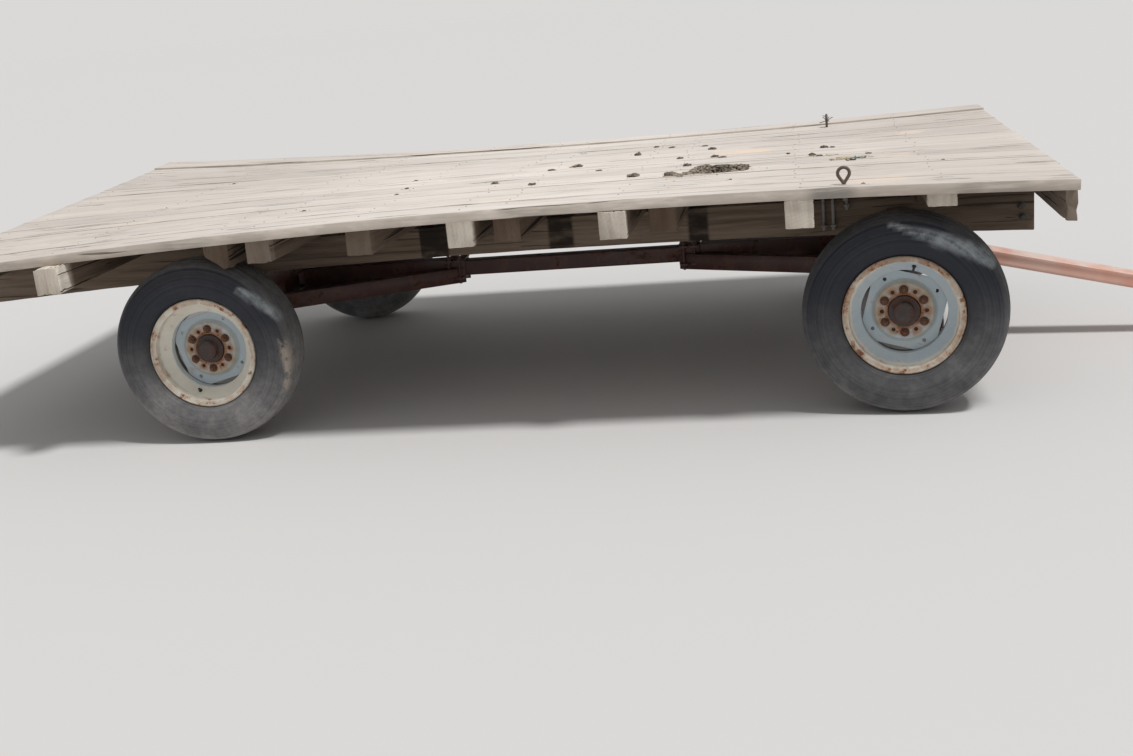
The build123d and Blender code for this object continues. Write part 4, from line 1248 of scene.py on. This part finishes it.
class WAGON_OT_tongue(bpy.types.Operator):
    """Paints the tongue faded red with a dusty top"""

    bl_idname = "wagon.tongue"
    bl_label = "Tongue"

    def execute(self, context):
        material = steel_material(
            "tongue_faded_red", context.scene.wagon_steel.tongue_red, (0.79, 0.53, 0.44), 0.17, 1.2, 9.0,
            rust=(0.45, 0.20, 0.12), dark_rust=(0.20, 0.10, 0.07), dust_colour=(0.68, 0.56, 0.50),
        )
        dress_node("tongue", "tongue_bar", material, 0.003)
        return {"FINISHED"}


class WAGON_OT_wheels(bpy.types.Operator):
    """Makes the worn tyres, rims, hubs, nuts and valves"""

    bl_idname = "wagon.wheels"
    bl_label = "Wheels"

    # half of the tyre's section: place outwards and radius, from the bead up to the middle of the tread
    tyre_section = (
        (0.0755, 0.191), (0.0755, 0.2075), (0.0785, 0.2105), (0.0865, 0.2125), (0.0915, 0.216),
        (0.0945, 0.2215), (0.0960, 0.2225), (0.0975, 0.2222), (0.0995, 0.229), (0.1035, 0.240),
        (0.1062, 0.252), (0.1073, 0.266), (0.1068, 0.280), (0.1048, 0.294), (0.1015, 0.308),
        (0.0985, 0.3165), (0.0990, 0.3185), (0.0982, 0.3205), (0.0960, 0.3215), (0.0935, 0.3275),
        (0.0905, 0.3330), (0.0868, 0.3372), (0.0830, 0.3392), (0.0815, 0.3375), (0.0790, 0.3380),
        (0.0780, 0.3405), (0.0740, 0.3425), (0.0600, 0.3458), (0.0540, 0.3468), (0.0532, 0.3425),
        (0.0478, 0.3428), (0.0470, 0.3480), (0.0330, 0.3495), (0.0215, 0.3502), (0.0207, 0.3455),
        (0.0153, 0.3457), (0.0145, 0.3506), (0.0, 0.3510),
    )
    steps = 120
    # scuffs on the outer side: wheel, attribute, and points of degrees up from ahead, radius and half width
    scuffs = (
        ("front_right", "scuff", (
            (28, 0.338, 0.010), (33, 0.331, 0.018), (40, 0.322, 0.024), (50, 0.305, 0.026),
            (66, 0.289, 0.024), (80, 0.294, 0.014), (89, 0.307, 0.010), (97, 0.323, 0.006),
        )),
        ("rear_right", "scuff", (
            (20, 0.338, 0.008), (26, 0.330, 0.014), (40, 0.312, 0.018), (54, 0.300, 0.010),
        )),
        ("rear_right", "cream_scuff", (
            (-28, 0.340, 0.006), (-14, 0.336, 0.010), (-2, 0.328, 0.018), (8, 0.324, 0.010),
        )),
        ("front_left", "scuff", ((150, 0.312, 0.010), (168, 0.306, 0.024), (190, 0.316, 0.012))),
        ("rear_left", "cream_scuff", ((200, 0.330, 0.010), (222, 0.318, 0.022), (248, 0.334, 0.010))),
    )
    # wheel: how far the flange's cream reaches into its well, its rust and painted shade at the top, the tyre's
    # dust, and the valve's angle up from ahead in degrees
    looks = {
        "front_left": (0.6, 0.0, 1.2, 130),
        "front_right": (0.15, 0.8, 1.0, 77),
        "rear_left": (0.4, 0.0, 1.5, 20),
        "rear_right": (1.0, 0.0, 2.0, 250),
    }

    def execute(self, context):
        settings = context.scene.wagon_wheels
        rubber = rubber_material(settings)
        rim_paint = rim_material(settings)
        hub_rust = steel_material(
            "hub_dark_rust", (0.038, 0.027, 0.025), (0.034, 0.028, 0.027), 0.5, 0.14, 30, (0.10, 0.042, 0.028)
        )
        nut_rust = steel_material(
            "nut_dark_rust", (0.085, 0.042, 0.030), (0.11, 0.058, 0.04), 0.6, 0.08, 60, (0.20, 0.08, 0.035)
        )
        valve_rubber = steel_material("valve_black", (0.02, 0.02, 0.022), (0.03, 0.03, 0.032), 0.1, 0.2, 60)
        for name, (cream_well, rust_and_painted_shade_top, dust, valve_angle) in self.looks.items():
            matrix = wheel_frame(name)
            self.make_tyre(name, matrix, dust, rubber)
            for part, paint in (("rim", rim_paint), ("hub", hub_rust)):
                node = f"{part}_{name}"
                bm = cad_copy(node, 0.6)
                soften(bm, 0.0018, 2, 28)
                mark_wheel_place(bm, matrix)
                set_float(bm, "cream_well", cream_well)
                set_float(bm, "rust_and_painted_shade_top", rust_and_painted_shade_top)
                finish_piece(bm, f"{part}_worn_{name}", BODY_OF[node], SLOT_OF[node], paint, node=node)
            self.add_nuts(name, matrix, settings, nut_rust)
            self.add_valve(name, matrix, math.radians(valve_angle), valve_rubber)
        return {"FINISHED"}

    def make_tyre(self, name, matrix, dust, rubber):
        """A tyre spun from its section, with its dust and scuffs."""
        bm = bmesh.new()
        half = self.tyre_section
        section = [*half, *[(-out, radius) for out, radius in reversed(half[:-1])]]
        verts = [bm.verts.new((0, out, radius)) for out, radius in section]
        edges = [bm.edges.new((a, b)) for a, b in zip(verts, verts[1:] + verts[:1])]
        bmesh.ops.spin(
            bm, geom=verts + edges, cent=(0, 0, 0), axis=(0, 1, 0), angle=math.tau, steps=self.steps,
            use_merge=True,
        )
        bmesh.ops.remove_doubles(bm, verts=bm.verts, dist=1e-5)
        bmesh.ops.transform(bm, matrix=matrix, verts=bm.verts)
        bmesh.ops.recalc_face_normals(bm, faces=bm.faces)
        mark_wheel_place(bm, matrix)
        set_float(bm, "dusty", dust)
        for wheel, mark, points in self.scuffs:
            if wheel == name:
                self.mark_scuff(bm, mark, points)
        node = "tyre_" + name
        finish_piece(bm, "tyre_worn_" + name, BODY_OF[node], SLOT_OF[node], rubber, 45, node)

    def mark_scuff(self, bm, mark, points):
        """Marks a band on the outer side that runs through the points."""
        place = bm.verts.layers.float_vector["wheel_place"]
        layer = bm.verts.layers.float.get(mark) or bm.verts.layers.float.new(mark)
        for vertex in bm.verts:
            ahead, outwards, up = vertex[place]
            angle, radius = math.degrees(math.atan2(up, ahead)), math.hypot(ahead, up)
            for (start, radius0, half0), (end, radius1, half1) in zip(points, points[1:]):
                share = ((angle - start) % 360) / (end - start)
                if outwards > 0.02 and share < 1:
                    off = abs(radius - radius0 - (radius1 - radius0) * share)
                    half = half0 + (half1 - half0) * share
                    vertex[layer] = clamped(1.6 - 1.2 * off / half, 0.0, 1.0)

    def add_nuts(self, name, matrix, settings, material):
        """The ring of lug nuts on a disc."""
        bm = bmesh.new()
        for step in range(settings.lug_count):
            angle = math.tau * (step + 0.5) / settings.lug_count
            spot = (math.cos(angle) * settings.lug_circle, 0.0101, math.sin(angle) * settings.lug_circle)
            add_bolt(bm, spot, (0, 1, 0), 0.0118, 0.008)
        put(bm, matrix)
        finish_piece(bm, "lug_nuts_" + name, name + "_wheel", "hub_iron", material)

    def add_valve(self, name, matrix, angle, material):
        """A valve with its cap that leans in from the rim."""
        spot = Vector((math.cos(angle) * 0.1670, 0.0330, math.sin(angle) * 0.1670))
        leaning = Vector((-math.cos(angle) * 0.55, 0.83, -math.sin(angle) * 0.55))
        bm = bmesh.new()
        add_prism(bm, pointing(spot, leaning), 0.0085, 0.005, 16, 0.007)
        add_prism(bm, pointing(spot + leaning * 0.004, leaning), 0.0050, 0.012, 12, 0.0040)
        add_prism(bm, pointing(spot + leaning * 0.016, leaning), 0.0044, 0.008, 8)
        put(bm, matrix)
        finish_piece(bm, "valve_" + name, name + "_wheel", "hub_iron", material)


class WAGON_OT_fittings(bpy.types.Operator):
    """Adds the eyebolts, the bolts and rods of the stringers, and the wire at the left eye"""

    bl_idname = "wagon.fittings"
    bl_label = "Fittings"

    # places along X and up of the bolt heads in each stringer
    bolts = ((1.40, 0.622), (1.405, 0.580))
    # places along X and lower ends of the rods beside each stringer, then their upper end
    rods = ((0.69, 0.598), (0.725, 0.598), (0.775, 0.67))
    rod_top = 0.775

    def execute(self, context):
        rust = steel_material(
            "fitting_rust", (0.075, 0.052, 0.040), (0.105, 0.078, 0.060), 0.4, 0.16, 50, (0.13, 0.07, 0.045)
        )
        iron = steel_material(
            "dark_iron", (0.028, 0.024, 0.022), (0.04, 0.034, 0.03), 0.3, 0.1, 50, (0.08, 0.045, 0.03)
        )
        grey = steel_material(
            "rod_grey", (0.20, 0.19, 0.18), (0.30, 0.28, 0.26), 0.35, 0.3, 50, (0.14, 0.08, 0.05)
        )
        for side in ("left", "right"):
            dress_node("eyebolt_" + side, "eyebolt_rusty_" + side, rust, 0.0008, 1, 40)
        faces = ((-1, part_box("stringer_right")[0].y), (1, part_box("stringer_left")[1].y))
        bm = bmesh.new()
        for side, face in faces:
            for x, z in self.bolts:
                add_bolt(bm, (x, face - side * SEAT, z), (0, side, 0), 0.0115, 0.006)
        finish_piece(bm, "stringer_bolts", "root", "rusty_iron", iron)
        bm = bmesh.new()
        for side, face in faces:
            for x, bottom in self.rods:
                place = (x, face + side * 0.0095, bottom)
                add_prism(bm, pointing(place, UP), 0.0055, self.rod_top - bottom, 12)
                add_bolt(bm, place, -UP, 0.010, 0.012)
        finish_piece(bm, "stringer_rods", "root", "rusty_iron", grey)
        self.twist_wire(iron)
        return {"FINISHED"}

    def twist_wire(self, iron):
        """Short ends of wire wound through the left eyebolt's eye."""
        low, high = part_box("eyebolt_left")
        middle = Vector(((low.x + high.x) / 2, (low.y + high.y) / 2, high.z - 0.02))
        draw = random.Random(5)
        bm = bmesh.new()
        for turn in range(9):
            angle = turn * 0.9
            off = Vector((math.cos(angle) * 0.008, math.sin(angle) * 0.008, draw.uniform(-0.014, 0.006)))
            lean = Vector((math.cos(angle + 1.4), math.sin(angle + 1.4), draw.uniform(-0.9, 0.5)))
            add_prism(bm, pointing(middle + off, lean), 0.0016, draw.uniform(0.016, 0.034), 6)
        finish_piece(bm, "eye_wire", "root", "rusty_iron", iron)


class WAGON_OT_litter(bpy.types.Operator):
    """Leaves dry dirt, flakes and straw on the deck"""

    bl_idname = "wagon.litter"
    bl_label = "Dirt And Straw"

    # place on the deck, width and height of each clump
    clumps = (
        (-0.584, -0.422, 0.032, 0.012), (-0.407, -0.565, 0.030, 0.014), (-0.409, -0.092, 0.034, 0.010),
        (-0.311, -0.009, 0.040, 0.016), (-0.190, -0.238, 0.024, 0.008), (-0.017, -0.535, 0.050, 0.014),
        (-0.087, 0.293, 0.030, 0.024), (-0.035, 0.615, 0.024, 0.010), (0.043, 0.534, 0.028, 0.008),
        (0.121, 0.015, 0.028, 0.010), (0.173, -0.304, 0.034, 0.017), (0.197, 0.472, 0.030, 0.008),
        (0.240, 0.312, 0.036, 0.012), (0.268, -0.033, 0.032, 0.018), (0.302, -0.080, 0.036, 0.008),
        (0.569, -0.120, 0.018, 0.010), (0.660, -0.245, 0.032, 0.018), (0.690, -0.285, 0.026, 0.012),
        (0.716, 0.031, 0.032, 0.012), (0.748, 0.018, 0.020, 0.007), (0.876, -0.294, 0.026, 0.006),
        (1.122, -0.626, 0.014, 0.006), (0.367, -0.860, 0.012, 0.008), (0.813, -1.150, 0.014, 0.005),
        (-0.962, -0.519, 0.018, 0.007), (-0.972, -0.334, 0.018, 0.007), (-1.010, -0.054, 0.016, 0.006),
        (-1.262, -0.765, 0.014, 0.006), (-2.025, 0.393, 0.014, 0.006),
    )
    crumbs_in_clump = 44
    crumbs_round_clump = 7
    # middle line of the heap: place, half width, height and how pale it is
    heap = (
        (0.112, -0.595, 0.016, 0.010, 0.1), (0.135, -0.600, 0.031, 0.016, 0.3),
        (0.170, -0.640, 0.030, 0.007, 0.9), (0.205, -0.600, 0.026, 0.012, 0.8),
        (0.228, -0.560, 0.060, 0.026, 0.8), (0.262, -0.560, 0.068, 0.034, 0.7),
        (0.285, -0.570, 0.060, 0.029, 0.1), (0.330, -0.570, 0.053, 0.029, 0.0),
        (0.362, -0.560, 0.046, 0.026, 0.4), (0.395, -0.560, 0.041, 0.023, 0.6),
        (0.418, -0.552, 0.026, 0.018, 0.0),
    )
    heap_density = 2000
    crumbs_round_heap = 160
    # flakes: place, length, turn in degrees and colour
    flakes = (
        (-0.365, 0.570, 0.028, 20, (0.80, 0.79, 0.76)),
        (0.800, -0.490, 0.036, 3, (0.040, 0.038, 0.045)),
        (0.826, -0.420, 0.040, -8, (0.56, 0.64, 0.66)),
        (0.846, -0.440, 0.030, 20, (0.33, 0.34, 0.27)),
        (0.780, -0.430, 0.040, 8, (0.62, 0.57, 0.43)),
        (0.740, -0.455, 0.032, 4, (0.40, 0.35, 0.26)),
        (-0.330, -0.012, 0.030, 15, (0.42, 0.24, 0.12)),
    )
    # straw: middle, spread and number of stalks
    straw = (
        (0.775, -0.42, 0.030, 9), (0.83, -0.42, 0.025, 5), (0.73, -0.45, 0.03, 3), (0.42, -0.53, 0.05, 2),
        (0.15, -0.62, 0.05, 6), (0.68, -0.30, 0.05, 5),
    )
    # crumbs made in one mesh, because the operators slow down in a large one
    batch = 60

    def execute(self, context):
        draw = random.Random(31)
        crumbs = [*self.clump_crumbs(draw), *self.heap_crumbs(draw)]
        bm = bmesh.new()
        for start in range(0, len(crumbs), self.batch):
            self.add_crumbs(bm, crumbs[start:start + self.batch], draw)
        finish_piece(bm, "dirt_clumps", "root", "deck_wood", dirt_material(), 60)
        for index, flake in enumerate(self.flakes):
            self.drop_flake(index, *flake)
        self.scatter_straw(draw)
        return {"FINISHED"}

    def clump_crumbs(self, draw):
        """Place, rise, size and paleness of each crumb in and round the clumps."""
        count = self.crumbs_in_clump
        for x, y, width, height in self.clumps:
            for step in range(count):
                off, side = draw.uniform(-0.42, 0.42), clamped(draw.gauss(0, 0.22), -0.5, 0.5)
                rise = step / count * height * math.sqrt(1 - (off / 0.45) ** 2) * 0.5
                size = draw.uniform(0.08, 0.16) * width
                yield x + off * width, y + side * width, rise, size, draw.uniform(0, 0.5)
            for _ in range(self.crumbs_round_clump):
                angle, away = draw.uniform(0, math.tau), width * draw.uniform(0.6, 2.4)
                place = (x + math.cos(angle) * away, y + math.sin(angle) * away)
                yield *place, 0, draw.uniform(0.0010, 0.0024), draw.uniform(0.1, 0.8)

    def heap_crumbs(self, draw):
        """Place, rise, size and paleness of each crumb in and round the heap."""
        for first, second in zip(self.heap, self.heap[1:]):
            count = int(self.heap_density * (first[2] + second[2]) * (0.5 + 10 * (second[0] - first[0])))
            for _ in range(count):
                share, side = draw.random(), clamped(draw.gauss(0, 0.5), -1.1, 1.1)
                x, y, half, height, pale = (a + (b - a) * share for a, b in zip(first, second))
                rise = height * (1 - side * side * 0.8) * draw.uniform(0.0, 0.75)
                blotch = 0.9 * noise.noise((x * 45, (y + side * half) * 30, 0.0))
                shade = clamped(pale + blotch + draw.uniform(-0.2, 0.2), 0.0, 1.0)
                yield x, y + side * half, rise, draw.uniform(0.003, 0.008), shade
        for _ in range(self.crumbs_round_heap):
            x, y = draw.gauss(0.27, 0.09), draw.gauss(-0.575, 0.055)
            yield x, y, 0, draw.uniform(0.001, 0.0032), draw.uniform(0.1, 0.9)

    def add_crumbs(self, bm, crumbs, draw):
        """Adds a batch of crumbs, made in a mesh of its own."""
        part = bmesh.new()
        pale_layer = part.verts.layers.float.new("pale")
        for x, y, rise, size, pale in crumbs:
            made = bmesh.ops.create_icosphere(part, subdivisions=1, radius=size)["verts"]
            seed = draw.uniform(0, 100)
            turn = Matrix.Rotation(draw.uniform(0, math.tau), 4, "Z")
            for vertex in made:
                vertex.co *= 1 + 0.6 * noise.noise(vertex.co / size * 1.3 + Vector((seed, 0, 0)))
                vertex.co.z *= 0.6
                vertex.co.x *= 1.25
                vertex[pale_layer] = pale
            low = deck_height(x, y) + rise + size * 0.3
            bmesh.ops.transform(part, matrix=Matrix.Translation((x, y, low)) @ turn, verts=made)
        mesh = bpy.data.meshes.new("crumbs")
        part.to_mesh(mesh)
        part.free()
        bm.from_mesh(mesh)
        bpy.data.meshes.remove(mesh)

    def scatter_straw(self, draw):
        """Short stalks that lie on the planks, most of them along the deck."""
        bm = bmesh.new()
        right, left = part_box(BOARDS[0])[0].y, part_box(BOARDS[-1])[1].y
        for centre_x, centre_y, spread, count in self.straw:
            for _ in range(count):
                x, y = centre_x + draw.gauss(0, spread), centre_y + draw.gauss(0, spread * 0.35)
                if not right < y < left:
                    continue
                length = draw.uniform(0.015, 0.06)
                turn = Matrix.Rotation(draw.gauss(0, 0.6), 4, "Z") @ Matrix.Rotation(math.radians(90), 4, "Y")
                matrix = Matrix.Translation((x, y, deck_height(x, y) + draw.uniform(0.003, 0.006))) @ turn
                add_prism(bm, matrix, draw.uniform(0.001, 0.0018), length, 5, 0.0008)
        finish_piece(bm, "loose_straw", "root", "deck_wood", straw_material(), 60)

    def drop_flake(self, index, x, y, length, turn, colour):
        """A thin bent chip of bark, plastic or straw."""
        name = f"flake_{index + 1}"
        bm = bmesh.new()
        bmesh.ops.create_grid(bm, x_segments=8, y_segments=5, size=0.5)
        bmesh.ops.scale(bm, vec=(length, length * 0.55, 1), verts=bm.verts)
        for vertex in bm.verts:
            fold = noise.noise(vertex.co / length * 3 + Vector((0, 0, index * 3)))
            vertex.co.z = length * max(0.04, 0.12 + 0.3 * fold)
            vertex.co.xy *= 1 + 0.4 * noise.noise(vertex.co * 60 + Vector((index, 0, 0)))
        bmesh.ops.solidify(bm, geom=bm.faces[:], thickness=0.0015)
        put(bm, Matrix.Translation((x, y, deck_height(x, y))) @ Matrix.Rotation(math.radians(turn), 4, "Z"))
        finish_piece(bm, name, "root", "deck_wood", flake_material(name, colour), 60)


class WAGON_PT_panel(bpy.types.Panel):
    """Lists the settings and pieces of the hay wagon"""

    bl_label = "Hay Wagon"
    bl_idname = "WAGON_PT_panel"
    bl_space_type = "VIEW_3D"
    bl_region_type = "UI"
    bl_category = "Hay Wagon"

    def draw(self, context):
        for group in SETTINGS:
            settings = getattr(context.scene, group)
            box = self.layout.box()
            for name in settings.__annotations__:
                box.prop(settings, name)
        for operator in OPERATORS:
            self.layout.operator(operator.bl_idname)


OPERATORS = (
    WAGON_OT_stage,
    WAGON_OT_deck,
    WAGON_OT_timbers,
    WAGON_OT_nails,
    WAGON_OT_gear,
    WAGON_OT_hardware,
    WAGON_OT_tongue,
    WAGON_OT_wheels,
    WAGON_OT_fittings,
    WAGON_OT_litter,
)
SETTINGS = {
    "wagon_wood": WagonWoodSettings,
    "wagon_wheels": WagonWheelSettings,
    "wagon_steel": WagonSteelSettings,
}


def register():
    for cls in (*SETTINGS.values(), *OPERATORS, WAGON_PT_panel):
        bpy.utils.register_class(cls)
    for name, group in SETTINGS.items():
        setattr(bpy.types.Scene, name, PointerProperty(type=group))


def unregister():
    for name in SETTINGS:
        delattr(bpy.types.Scene, name)
    for cls in reversed((*SETTINGS.values(), *OPERATORS, WAGON_PT_panel)):
        bpy.utils.unregister_class(cls)


def main():
    register()
    for operator in OPERATORS:
        group, name = operator.bl_idname.split(".")
        getattr(getattr(bpy.ops, group), name)()


if __name__ == "__main__":
    main()
